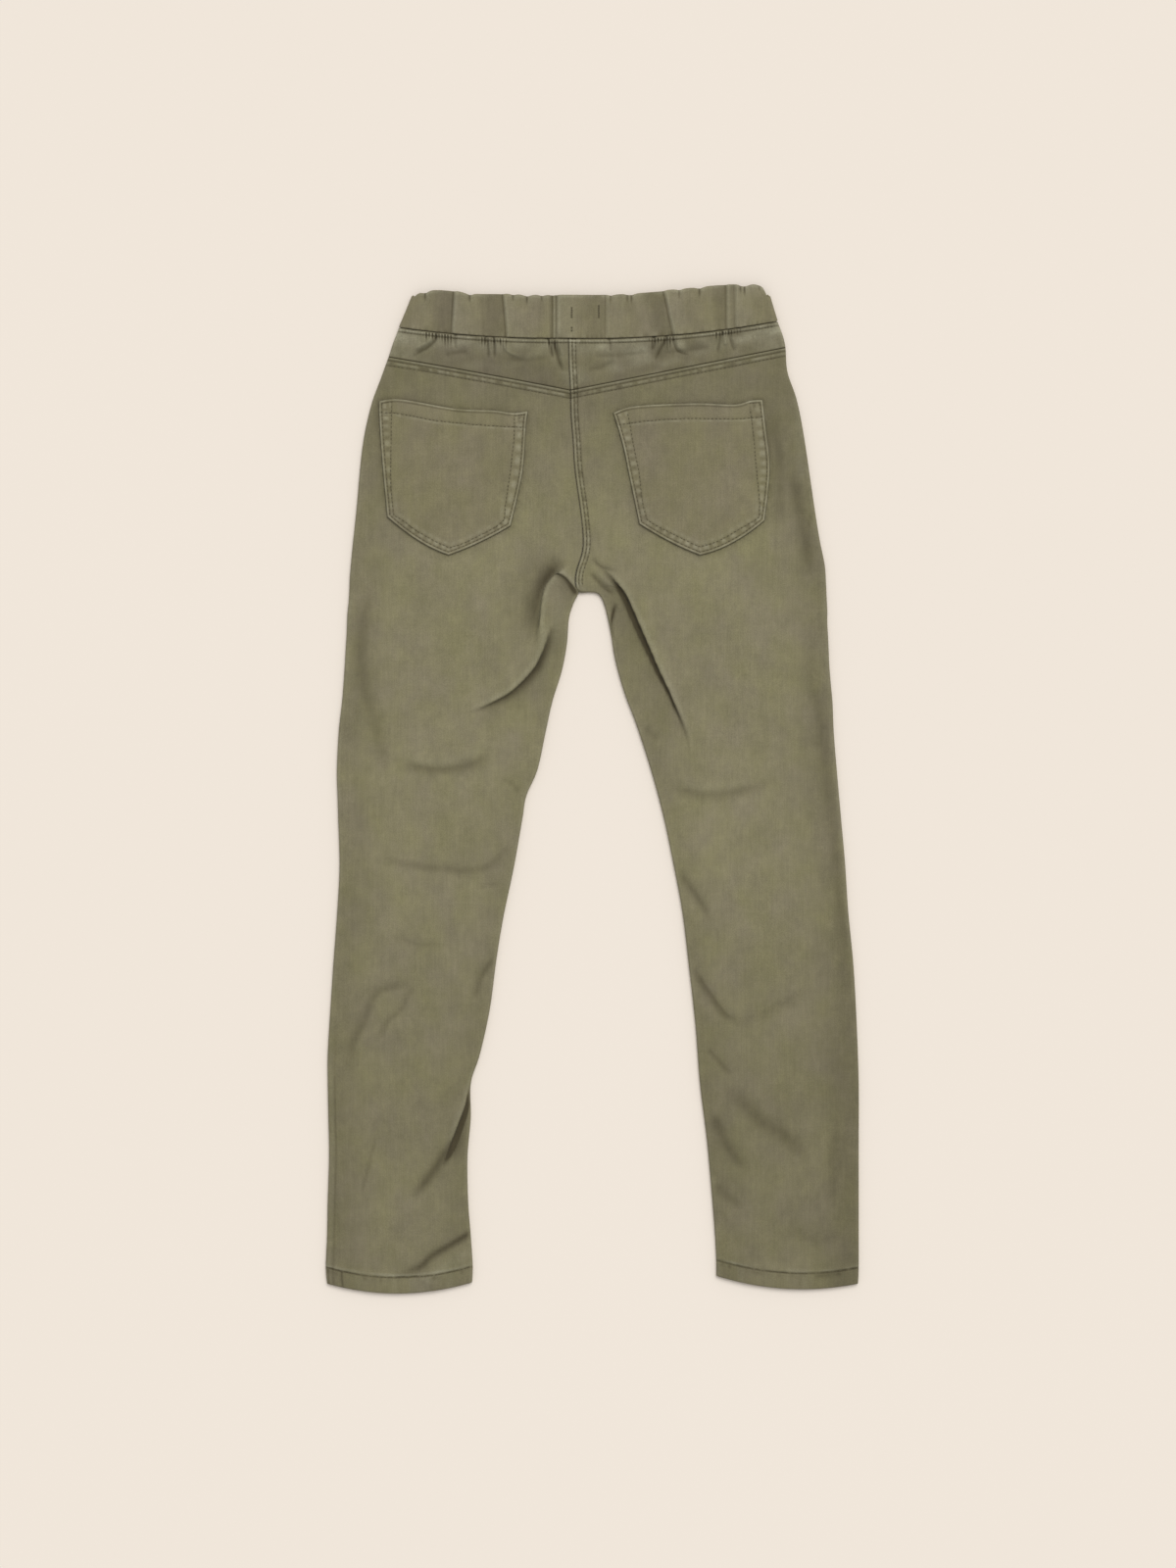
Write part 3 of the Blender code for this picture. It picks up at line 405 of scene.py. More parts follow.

# How far each seam's rubbed ridge and its rows of stitches lie from the edge of the cloth on top
Seam = namedtuple("Seam", "ridge first second")
WAIST_SEAM = Seam(1.85, 3.3, None)
YOKE_SEAM = Seam(1.2, 2.8, 6.3)
CENTRE_BACK_SEAM = Seam(1.3, 2.7, 5.3)
POCKET_SEAM = Seam(0.95, 2.4, None)

# Stage, in metres: where the soft light and the camera stand, both aimed at the garment
KEY_PLACE = (0.6, 1.5, 2.6)
CAMERA_PLACE = (-0.003, 0.0034, 2.833)
CAMERA_LENS = 85        # millimetres, on a frame 36 mm wide
FLOOR_SIZE = 60
FLOOR_DROP = 0.0002     # the floor lies this far below the garment

# Where the elastic pulls the waist seam in, from and to which x; then the bar tack's middle and half width
PULLED_IN = [(-128, -107), (-86, -65), (-34, -25), (44, 62), (93, 113)]
BAR_TACK = (-13.5, 5.0)
CENTRE_ROWS_END = 155.0  # the centre seam's stitches show down to here, just above the crotch

Half = namedtuple("Half", "name sections side")


def joined_sections(seat, leg):
    """All the sections of a half, with the seat's inner ends on the centre seam."""
    return [Section(row.outer_x, row.outer_y, *centre, row.bow, row.climb)
            for row, centre in zip(seat, CENTRE_SEAM)] + leg


HALVES = [Half("left", joined_sections(LEFT_SEAT, LEFT_LEG), -1),
          Half("right", joined_sections(RIGHT_SEAT, RIGHT_LEG), 1)]


def spline(points, where):
    """Read a smooth curve through `points` at the places `where`, counted in points."""
    points = np.asarray(points, dtype=float)
    last = len(points) - 1
    start = np.clip(np.floor(where).astype(int), 0, last - 1)
    step = (where - start)[:, None]
    before, here = points[np.clip(start - 1, 0, last)], points[start]
    there, after = points[start + 1], points[np.clip(start + 2, 0, last)]
    return here + 0.5 * step * (
        there - before
        + step * (2 * before - 5 * here + 4 * there - after
                  + step * (3 * here - before - 3 * there + after)))


def smooth_path(points):
    """Closely spaced points along a smooth curve."""
    return spline(points, np.linspace(0, len(points) - 1, FOLD_SAMPLES))


def along_curve(points, share):
    """Read a smooth curve through `points` at shares of its length."""
    dense = spline(points, np.linspace(0, len(points) - 1, CURVE_SAMPLES))
    length = np.concatenate([[0], np.cumsum(np.linalg.norm(np.diff(dense, axis=0), axis=1))])
    where = np.asarray(share) * length[-1]
    return np.stack([np.interp(where, length, dense[:, axis]) for axis in (0, 1)], axis=1)


def smoothstep(value):
    """A smooth rise from 0 to 1 as the value goes from 0 to 1."""
    value = np.clip(value, 0, 1)
    return value * value * (3 - 2 * value)


def bell(value):
    """A soft bump, 1 high where the value is 0 and gone at about 2 on both sides."""
    return np.exp(-value ** 2)


def arc(distance, radius):
    """Share of its height that a rolled edge has reached at a distance from it."""
    return np.sqrt(1 - (1 - np.clip(distance / radius, 0, 1)) ** 2)


def uneven(place, spacing, seed):
    """Smooth random value between -1 and 1, with a new one every `spacing` along `place`."""
    knots = np.random.default_rng(seed).uniform(-1, 1, 997)
    place = np.asarray(place) / spacing
    start = np.floor(place).astype(int)
    blend = smoothstep(place - start)
    return knots[start % 997] * (1 - blend) + knots[(start + 1) % 997] * blend


def near_path(path, x, y, reach):
    """The points within `reach` of a path, and where each of them lies.

    For each it gives its number, how far to the path's left it lies, the share of the path that is travelled
    there, and the direction to the left.
    """
    inside = ((x > path[:, 0].min() - reach) & (x < path[:, 0].max() + reach)
              & (y > path[:, 1].min() - reach) & (y < path[:, 1].max() + reach))
    chosen = np.flatnonzero(inside)
    start, run = path[:-1], np.diff(path, axis=0)
    from_start = np.stack([x[chosen], y[chosen]], axis=1)[:, None, :] - start
    share = np.clip((from_start * run).sum(axis=2) / (run ** 2).sum(axis=1), 0, 1)
    apart = from_start - share[:, :, None] * run
    distances = np.linalg.norm(apart, axis=2)
    nearest = distances.argmin(axis=1)
    pick = np.arange(len(chosen)), nearest
    run = run[nearest]
    left = np.stack([-run[:, 1], run[:, 0]], axis=1) / np.linalg.norm(run, axis=1)[:, None]
    side = np.where((apart[pick] * left).sum(axis=1) < 0, -1, 1)
    return chosen, side * distances[pick], (nearest + share[pick]) / len(start), left


def distance_to(path, x, y, reach):
    """Distance to a path, positive on its left, and the share of it travelled; far away it is `reach`."""
    distance, travelled = np.full(x.shape, float(reach)), np.zeros(x.shape)
    chosen, apart, share, _ = near_path(np.asarray(path, dtype=float), x.ravel(), y.ravel(), reach)
    distance.flat[chosen], travelled.flat[chosen] = apart, share
    return distance, travelled


def faded(travelled):
    """A fold's strength along its path: it dies away over the quarter at each end."""
    return smoothstep(4 * travelled) * smoothstep(4 * (1 - travelled))


def fold_relief(x, y):
    """Height that the soft folds add at each place, the painted shade of their creases by how deep it lies in
    a crease, and the painted highlight of their ridges by how high it lies on a ridge.
    """
    height, crease, crest_highlight = (np.zeros_like(x) for _ in range(3))
    for fold in FOLDS:
        reach = 3 * max(fold.left_width, fold.right_width)
        chosen, apart, travelled, _ = near_path(smooth_path(fold.path), x, y, reach)
        width = np.where(apart > 0, fold.left_width, fold.right_width)
        strength = fold.height * faded(travelled)
        height[chosen] += strength * bell(apart / width)
        # painted shade along the creases and painted highlight along the ridges
        crease[chosen] += np.clip(-strength, 0, None) * bell(apart / (0.55 * width))
        crest_highlight[chosen] += np.clip(strength, 0, None) * bell(apart / (0.6 * width))
    return height, crease, crest_highlight


def overlap_relief(x, y, free):
    """Heights, painted shadows beneath and painted highlights along the edges of the overlaps, with the
    points moved to make their edges sharp.

    The edges lean out too. `free` is how free the points are to move: not at the sheet's own edges.
    """
    height, crease, wear_and_highlight = (np.zeros_like(x) for _ in range(3))
    moved = np.stack([x, y], axis=1)
    for fold in OVERLAPS:
        reach = 3 * max(fold.reach, fold.under)
        chosen, apart, travelled, left = near_path(smooth_path(fold.path), x, y, reach)
        strength = faded(travelled)
        over = left * fold.side
        apart = apart * fold.side
        pull = -OVERLAP_PULL * apart * bell(apart / OVERLAP_PULL_REACH) * strength * free[chosen]
        apart = apart + pull
        on_top = smoothstep(apart / OVERLAP_STEP + 0.5)
        upper = fold.height * np.where(apart > 0, bell(apart / fold.reach), 1)
        lower = -fold.depth * np.where(apart < 0, bell(apart / fold.under), 1)
        height[chosen] += strength * (lower + (upper - lower) * on_top)
        widest = bell((travelled - fold.widest) / 0.34)
        hidden = fold.hidden * (0.3 + 0.7 * widest)
        covered = np.clip(-apart - (1 - fold.soft) * hidden, 0, None) / (fold.soft * hidden)
        darkness = fold.dark * strength * (0.35 + 0.65 * widest)
        # painted shadow on the cloth that the upper layer covers, and a painted highlight just inside its
        # edge
        beneath = 0.72 * darkness * bell(covered) + 0.3 * strength * bell(apart / (2.2 * fold.under))
        crease[chosen] += np.where(apart < 0, beneath, darkness * bell(apart / 0.6))
        wear_and_highlight[chosen] += 0.3 * strength * bell((apart - 2.4) / 1.5)
        lean = fold.lean * on_top * bell(np.maximum(apart, 0) / 3) * strength * free[chosen]
        moved[chosen] += over * (pull - lean)[:, None]
    return moved[:, 0], moved[:, 1], height, crease, wear_and_highlight


def ladder(head, step, length, tail):
    """Distances from 0 to `length`: those of `head`, even ones, then those of `tail` counted from the end."""
    count = max(1, round((length - tail[-1] - head[-1]) / step))
    middle = np.linspace(head[-1], length - tail[-1], count + 1)
    return np.concatenate([head[:-1], middle, length - np.array(tail[:-1])[::-1]])


def row_numbers(half, first, last, head, step, tail):
    """Section numbers of the rows between two sections, by how far apart they are at their wider end."""
    numbers = np.linspace(first, last, CURVE_SAMPLES)
    moves = np.diff(spline(half.sections, numbers)[:, :4], axis=0)
    moves = np.maximum(np.hypot(moves[:, 0], moves[:, 1]), np.hypot(moves[:, 2], moves[:, 3]))
    travelled = np.concatenate([[0], np.cumsum(moves)])
    return np.interp(ladder(head, step, travelled[-1], tail), travelled, numbers)


def roll_at(number):
    """How far a row's inner end rolls round an edge: not on the centre seam, fully on the inside leg."""
    return np.clip((number - CROTCH_START_SECTION) / (CROTCH_SECTION - CROTCH_START_SECTION), 0, 1)


def half_gap_at(number):
    """Half the gap between the front and the back, where their edges face each other."""
    return SEAM_GAP / 2 + CROTCH_EASE * bell(number - CROTCH_SECTION)


Plan = namedtuple("Plan", "number x y from_outer from_inner lift")


def plan(half, numbers, outer, inner, columns, trims):
    """Plan of a panel: a row of points for each section number, from its outer to its inner end.

    `outer` and `inner` are the distances at which the points stand near those ends, with `columns` even steps
    between them. `trims` shorten the panel at its upper and lower edge.
    """
    outer_x, outer_y, inner_x, inner_y, bow, climb = spline(half.sections, numbers).T[:, :, None]
    number = numbers[:, None]
    inner_x = inner_x + half.side * SEAM_GAP / 2
    width = np.abs(inner_x - outer_x)
    middle = np.linspace(0, 1, columns + 1)[None, 1:-1]
    from_outer = np.concatenate([
        np.repeat([outer], len(numbers), axis=0),
        outer[-1] + (width - outer[-1] - inner[-1]) * middle,
        width - np.array(inner)[None, ::-1]], axis=1)
    from_inner = width - from_outer
    roll = roll_at(number)
    lift = arc(from_outer, EDGE_RADIUS) * (1 - roll * (1 - arc(from_inner, EDGE_RADIUS)))
    share = from_outer / width
    x = outer_x + (inner_x - outer_x) * share
    rise = climb * CLIMB_REACH * (1 - np.exp(-from_inner / CLIMB_REACH)) * share
    y = outer_y + (inner_y - outer_y) * share - bow * 4 * share * (1 - share) + rise
    y[0] -= trims[0]
    y[-1] += trims[1]
    return Plan(np.broadcast_to(number, x.shape), x, y, from_outer, from_inner, lift)


def section_line(half, number, x):
    """Where a section crosses, in y, at each x."""
    section = half.sections[number]
    share = np.clip((x - section.outer_x) / (section.inner_x - section.outer_x), 0, 1)
    bow = section.bow * 4 * share * (1 - share)
    return section.outer_y + (section.inner_y - section.outer_y) * share - bow


def band_seam(x):
    """Height, in plan, of the seam between the waistband and what hangs from it."""
    return np.where(x < CENTRE_SEAM[0][0], section_line(HALVES[0], 0, x), section_line(HALVES[1], 0, x))


# Marks on the cloth. Each is its relief in millimetres, then its paler share, from wear and painted
# highlight, and its darker share, mostly painted shade, as shares. Inside a bell, the place of the mark's
# middle is taken off the distance, and its half width divides the rest.


def seam_marks(distance, along, seam, seed):
    """Relief, rubbed ridge and painted shade of a seam, at a distance from the edge of the cloth on top:
    painted shade in the gap at that edge, along the lines of stitches and between the puckers.
    """
    rough = 0.6 * uneven(along, 3.4, seed) + 0.5 * uneven(along, 17, seed + 2)
    relief = 0.5 * bell((distance - seam.ridge) / 0.8) - 0.3 * bell((distance - seam.first) / 0.5)
    wear_and_highlight = (0.46 + 0.42 * rough).clip(0) * bell((distance - seam.ridge) / 0.6)
    # painted shade in the gap at the edge of the cloth on top and along the first row of stitches
    shade = 0.85 * bell(distance / 0.42) + (0.42 - 0.2 * rough) * bell((distance - seam.first) / 0.55)
    if seam.second:
        between = (seam.first + seam.second) / 2
        puckers = 0.8 * uneven(along, 2.2, seed + 1) + 0.4 * uneven(along, 13, seed + 3)
        relief = relief + (0.25 + 0.35 * puckers) * bell((distance - between) / 1.1)
        relief = relief - 0.3 * bell((distance - seam.second) / 0.5)
        wear_and_highlight = wear_and_highlight + (0.22 + 0.55 * puckers).clip(0) * bell((distance - between) / 0.95)
        # painted shade along the second row of stitches and between the puckers
        shade = shade + (0.42 - 0.2 * puckers) * bell((distance - seam.second) / 0.55)
        shade = shade + 0.5 * (-puckers).clip(0) * bell((distance - between) / 1.0)
    return relief, wear_and_highlight, shade


def back_shade(half, place, x, y, crease, sway):
    """How dark the back cloth is: painted shade in its creases, near its rolled edges and down the leg, and
    darker over the seat.
    """
    roll, tones = roll_at(place.number), TONES[half.name]
    shade = crease * (1 - 0.8 * bell(place.from_outer / 2.5))
    shade = shade * (1 - 0.8 * roll * bell(place.from_inner / 2.0))
    off_seat = 1 - 0.6 * smoothstep((y - SEAT_FOOT) / 100)
    # painted shade where the cloth rounds off at its edges, and down the lower leg, where less light falls
    shade = shade + tones.side * off_seat * bell((place.from_outer - 9) / 17)
    shade = shade + INSIDE_LEG_SHADE * roll * bell((place.from_inner - 7) / 13)
    shade = shade + tones.lower_leg * smoothstep((-y - 40) / 190) + 0.10 * sway
    if place.number[0, 0] >= YOKE_SECTION:
        shade = shade + SEAT_TONE * smoothstep((y - SEAT_FOOT) / 130)

    # painted shade on the cloth just outside the pocket's edge
    beyond_pocket, _ = distance_to(pocket_outline(POCKETS[half.name]), x, y, 8)
    beyond_pocket = np.where(beyond_pocket < 0, -beyond_pocket, 8)
    return shade + 0.2 * bell(beyond_pocket / 1.1) + 0.1 * bell(beyond_pocket / 4)


def waist_marks(x, below_band):
    """Marks of the waist seam: its stitches, the ticks where the elastic pulls it in, with painted shade in
    their hollows, and the bar tack.
    """
    pulled = sum(smoothstep((x - start) / 4 + 0.5) * smoothstep((stop - x) / 4 + 0.5)
                 for start, stop in PULLED_IN)
    ticks = 0.8 * np.sin(2.7 * x + 1.2 * uneven(x, 9, 14)) + 0.45 * uneven(x, 1.7, 13)
    ticks = ticks * (0.2 + 1.0 * pulled)
    hang = (2.6 + 2.4 * uneven(x, 3.1, 15) + pulled).clip(1)
    pucker = ticks * bell((below_band - 2.4).clip(0) / hang) * smoothstep((below_band - 0.4) / 1.2)
    middle, half_width = BAR_TACK
    bar_tack = smoothstep(4 - np.abs(x - middle) / half_width * 4) * bell((below_band - 2.3) / 1.3)
    # the ticks take painted shade in their hollows
    return [seam_marks(below_band, x, WAIST_SEAM, 11),
            (0.5 * pucker, 0, 1.1 * (-pucker).clip(0)),
            (0.35 * bar_tack, bar_tack * (0.4 + 0.15 * uneven(x, 1.2, 16)), -0.3 * bar_tack)]


def yoke_marks(half, place, x, y, below_band, below_yoke):
    """Marks of a yoke's cloth, which is patchy, rubbed below the band and darker towards its lower seam, with
    painted shade along that seam's edge.
    """
    patchy = uneven(x + 0.6 * y, 10, 43) * uneven(y - 0.3 * x, 7, 44)
    wear_and_highlight = (0.26 + 0.3 * patchy).clip(0) * bell((below_band - 6.5) / 5)
    wear_and_highlight = wear_and_highlight + 0.30 * bell(place.from_outer / 24) + 0.30 * patchy.clip(0)
    # painted shade along the yoke's lower edge, and random darker patches
    shade = 0.9 * bell(below_yoke / 0.6) + 0.25 * (-patchy).clip(0)
    return 0, wear_and_highlight, shade + TONES[half.name].yoke * smoothstep((below_band - 11) / 8)


def centre_marks(half, place, y):
    """Marks of the centre seam: its rows of stitches on the right half, and a painted shade line on the left
    one.
    """
    on_centre = 1 - smoothstep(2 * (roll_at(place.number) - 0.8) + 0.5)
    if half.side < 0:
        return 0, 0, 0.45 * on_centre * bell(place.from_inner / 0.5)
    return [mark * on_centre for mark in seam_marks(place.from_inner, y, CENTRE_BACK_SEAM, 21)]


def hem_marks(x, y, above_hem):
    """Marks of the hem: its turned edge shows as a ridge, with the stitches just below it in a groove of
    painted shade.
    """
    rough, above_stitches = uneven(x, 2.8, 31), above_hem - HEM_HEIGHT
    turned = above_stitches < 0
    ridge = bell((above_stitches - 1.5) / 0.75)
    groove = bell((above_stitches + 0.25 * rough) / (0.75 + 0.2 * rough))
    relief = HEM_LIFT * smoothstep((0.6 - above_stitches) / 1.2) + 0.4 * ridge - 0.65 * groove
    relief = relief + 0.16 * uneven(x + 0.3 * y, 5.5, 33) * turned
    wear_and_highlight = (0.42 + 0.4 * uneven(x, 9, 35)).clip(0) * ridge
    wear_and_highlight = wear_and_highlight + 0.2 * uneven(x, 6, 34).clip(0) * (above_stitches < -1)
    # painted shade in the stitches' groove; the turned hem is a little darker
    shade = (0.42 - 0.3 * rough) * groove + 0.10 * turned
    shade = shade + 0.3 * (-uneven(x, 3.1, 36)).clip(0) * bell((above_stitches + 2.2) / 1.6)
    return relief, wear_and_highlight, shade


def calf_seam_marks(place, y, above_hem):
    """Marks of the side seam, which rolls a little way onto the back of the left calf and of its hem."""
    on_calf = smoothstep((-y - 170) / 60)
    in_hem = 0.55 * bell((place.from_outer - 12.6) / 0.6) + 0.35 * bell((place.from_outer - 1.9) / 0.6)
    line = 0.28 * on_calf * bell((place.from_outer - 5.2) / 0.8) + (above_hem < HEM_HEIGHT - 0.5) * in_hem
    return -0.3 * line, 0.25 * on_calf * bell((place.from_outer - 3.7) / 0.7), line


def edge_marks(place, y):
    """Marks of the rolled edges, which are a little rubbed pale along the side seam and the inside leg."""
    outer = 0.25 * bell((place.from_outer - 1.2) / 1.0) * (0.6 + 0.4 * uneven(y, 9, 41))
    inner = 0.2 * bell((place.from_inner - 1.2) / 1.0) * (0.6 + 0.4 * uneven(y, 9, 42))
    return 0, outer + roll_at(place.number) * inner, 0


def back_surface(half, place):
    """Points of a sheet of back cloth, and its paler share, from wear and painted highlight, and its darker
    share, mostly painted shade, at each.
    """
    roll = roll_at(place.number)
    outer_fade = 1 - bell(place.from_outer / EDGE_FADE)
    near_inner = bell(place.from_inner / EDGE_FADE)
    free = outer_fade * (1 - near_inner)
    x, y, height, crease, wear_and_highlight = overlap_relief(place.x.ravel(), place.y.ravel(), free.ravel())
    soft_height, soft_crease_shade, soft_crest_highlight = fold_relief(x, y)
    x, y, height, crease, wear_and_highlight = (values.reshape(place.x.shape) for values in (
        x, y, height + soft_height, crease + CREASE_SHADE * soft_crease_shade, wear_and_highlight + CREST_HIGHLIGHT * soft_crest_highlight))
    sway = (0.22 * uneven(x + 0.35 * y, 23, 5) * uneven(y - 0.25 * x, 34, 6)
            + 0.12 * uneven(y + 0.2 * x, 11, 7) * uneven(x - 0.3 * y, 15, 8))
    below_band = band_seam(x) - y
    below_yoke = section_line(half, YOKE_SECTION, x) - y
    above_hem = y - section_line(half, len(half.sections) - 1, x)

    marks = [(sway, wear_and_highlight, back_shade(half, place, x, y, crease, sway)), *waist_marks(x, below_band),
             centre_marks(half, place, y), hem_marks(x, y, above_hem), edge_marks(place, y)]
    if place.number[0, 0] < YOKE_SECTION:
        marks.append(yoke_marks(half, place, x, y, below_band, below_yoke))
    else:
        marks.append(seam_marks(below_yoke, x, YOKE_SEAM, 17))
    if half.side < 0:
        marks.append(calf_seam_marks(place, y, above_hem))
    relief, wear_and_highlight, shade = (sum(values) for values in zip(*marks))

    crown = (CROWN * (1 - np.exp(-place.from_outer / CROWN_REACH))
             * (1 - roll * np.exp(-place.from_inner / CROWN_REACH)))
    rise = BAND_RISE * bell(below_band / BAND_RISE_REACH)
    body = 2 * EDGE_RADIUS + crown + rise + outer_fade * (1 - roll * near_inner) * height
    body = LOWEST + SLACK_SOFTNESS * np.logaddexp(0, (body - LOWEST) / SLACK_SOFTNESS)
    body = body + relief * arc(place.from_outer, 3) * (1 - roll * (1 - arc(place.from_inner, 3)))
    seam = EDGE_RADIUS + half_gap_at(place.number)
    hem_roll = np.where(place.number > CROTCH_SECTION, arc(above_hem + 0.02, 1.1), 1)
    z = seam + (body - seam) * place.lift * (0.35 + 0.65 * hem_roll)
    return np.stack([x, y, z], axis=2), wear_and_highlight, shade


def cloth_sheet(name, points, wear_and_highlight, shade, wall, material, faces_up=True, closed=False):
    """A sheet of cloth from rows of points, given in millimetres, with its wall added on the inner side.

    The rows run down the garment and the points of a row run to +X. `wear_and_highlight`, the paler share
    from wear and painted highlight, and `shade`, the darker share, mostly painted shade, are kept on the
    points for the material. A closed sheet is a tube: each row's last point is joined to its first.
    """
    rows, columns = points.shape[:2]
    index = np.arange(rows * columns).reshape(rows, columns)
    if closed:
        index = np.concatenate([index, index[:, :1]], axis=1)
    corners = [index[:-1, :-1], index[1:, :-1], index[1:, 1:], index[:-1, 1:]]
    if not faces_up:
        corners.reverse()
    mesh = bpy.data.meshes.new(name)
    faces = np.stack(corners, axis=2).reshape(-1, 4)
    mesh.from_pydata((points.reshape(-1, 3) * MM).tolist(), [], faces.tolist())
    for label, values in (("wear_and_highlight", wear_and_highlight), ("shade", shade)):
        attribute = mesh.attributes.new(label, "FLOAT", "POINT")
        attribute.data.foreach_set("value", np.clip(values, 0, 1.5).astype(np.float32).ravel())
    mesh.materials.append(material)
    piece = bpy.data.objects.new(name, mesh)
    bpy.context.scene.collection.objects.link(piece)
    solidify = piece.modifiers.new("cloth", "SOLIDIFY")
    solidify.thickness = wall
    solidify.offset = -1
    solidify.use_quality_normals = True
    bpy.context.view_layer.objects.active = piece
    bpy.ops.object.modifier_apply(modifier=solidify.name)
    piece.data.shade_smooth()
    piece.data.set_sharp_from_angle(angle=math.radians(SHARP_ANGLE))
    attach(piece, "root")
    return piece


def to_the_right(half, *grids):
    """The grids with their columns in the order of +X: a right half's rows start at its outer end."""
    return grids if half.side < 0 else [grid[:, ::-1] for grid in grids]


def make_yokes(cloth):
    """The two back yokes, below the waistband."""
    finish = twill("yoke twill", cloth.yoke_colour, cloth)
    for half in HALVES:
        numbers = row_numbers(half, 0, YOKE_SECTION, YOKE_HEAD, YOKE_STEP, YOKE_TAIL)
        place = plan(half, numbers, ROLLED, SEAMED, YOKE_COLUMNS, (SEAM_GAP / 2, SEAM_GAP / 2))
        points, wear_and_highlight, shade = to_the_right(half, *back_surface(half, place))
        name = f"cloth_yoke_{half.name}"
        piece = cloth_sheet(name, points, wear_and_highlight, shade, cloth.wall, finish)
        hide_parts(f"yoke_{half.name}")


def make_backs(cloth):
    """The two back leg panels, from the yoke to the hem."""
    finish = twill("leg twill", cloth.leg_colour, cloth)
    for half in HALVES:
        numbers = row_numbers(half, YOKE_SECTION, len(half.sections) - 1, BACK_HEAD, BACK_STEP, BACK_TAIL)
        place = plan(half, numbers, ROLLED, SEAMED, BACK_COLUMNS, (SEAM_GAP / 2, 0))
        points, wear_and_highlight, shade = to_the_right(half, *back_surface(half, place))
        piece = cloth_sheet(f"cloth_back_{half.name}", points, wear_and_highlight, shade, cloth.wall, finish)
        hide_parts(f"back_{half.name}")


def make_fronts(cloth):
    """The two front panels, flat on the surface from the waistband to the hem."""
    finish = twill("front twill", cloth.leg_colour, cloth)
    for half in HALVES:
        numbers = row_numbers(half, 0, len(half.sections) - 1, FRONT_HEAD, FRONT_STEP, FRONT_TAIL)
        place = plan(half, numbers, ROLLED, ROLLED, FRONT_COLUMNS, (SEAM_GAP / 2, 0))
        height = (EDGE_RADIUS - half_gap_at(place.number)) * (1 - place.lift)
        points = np.stack([place.x, place.y, height], axis=2)
        # painted shade along the front's inner edge, where it shows in the gap between the back halves
        shade = 0.9 * (1 - roll_at(place.number)) * bell(place.from_inner / 0.5)
        points, shade = to_the_right(half, points, shade)
        piece = cloth_sheet(f"cloth_front_{half.name}", points, 0 * shade, shade, cloth.wall, finish,
                            faces_up=False)
        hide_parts(f"front_{half.name}")


def gathered(x, up):
    """How far the gathers sink the band's back and notch its upper edge, their painted shade over the sunken
    columns and along their lines, and their painted highlight beside those lines.
    """
    sink, notch, dark, pale = (np.zeros_like(x) for _ in range(4))
    for gather in GATHERS:
        apart = x - gather.low - (gather.top - gather.low) * up
        left, right = gather.left_width, gather.right_width
        near_top, line = 1, 0.36 - 0.14 * (1 - up)
        if gather.share < 1:
            near_top, line = smoothstep((up - 1 + gather.share) / (0.7 * gather.share)), 0.85
        sink += gather.depth * bell(apart / np.where(apart < 0, left, right)) * near_top
        notch += 0.85 * gather.notch * bell(apart / np.where(apart < 0, 1.6 * left, 1.8 * right))
        column = smoothstep((apart + left) / (0.4 * left)) * smoothstep(0.5 - apart / 0.8)
        far_edge = bell((apart + 0.95 * left) / (0.1 * left + 0.4))
        # painted shade over the sunken column, at its far edge and along the crisp line
        tone = 0.19 * column + 0.10 * far_edge + line * bell((apart + 0.3) / 0.65)
        dark += gather.depth * near_top * tone
        # painted highlight beside the crisp line and a little beyond it
        beyond = smoothstep(apart / 1.5) * bell(apart / 13)
        pale += gather.depth * near_top * (0.16 * bell((apart - 1.7) / 1.2) + 0.08 * beyond)
    return sink, notch * smoothstep(2 * up - 1), dark, pale


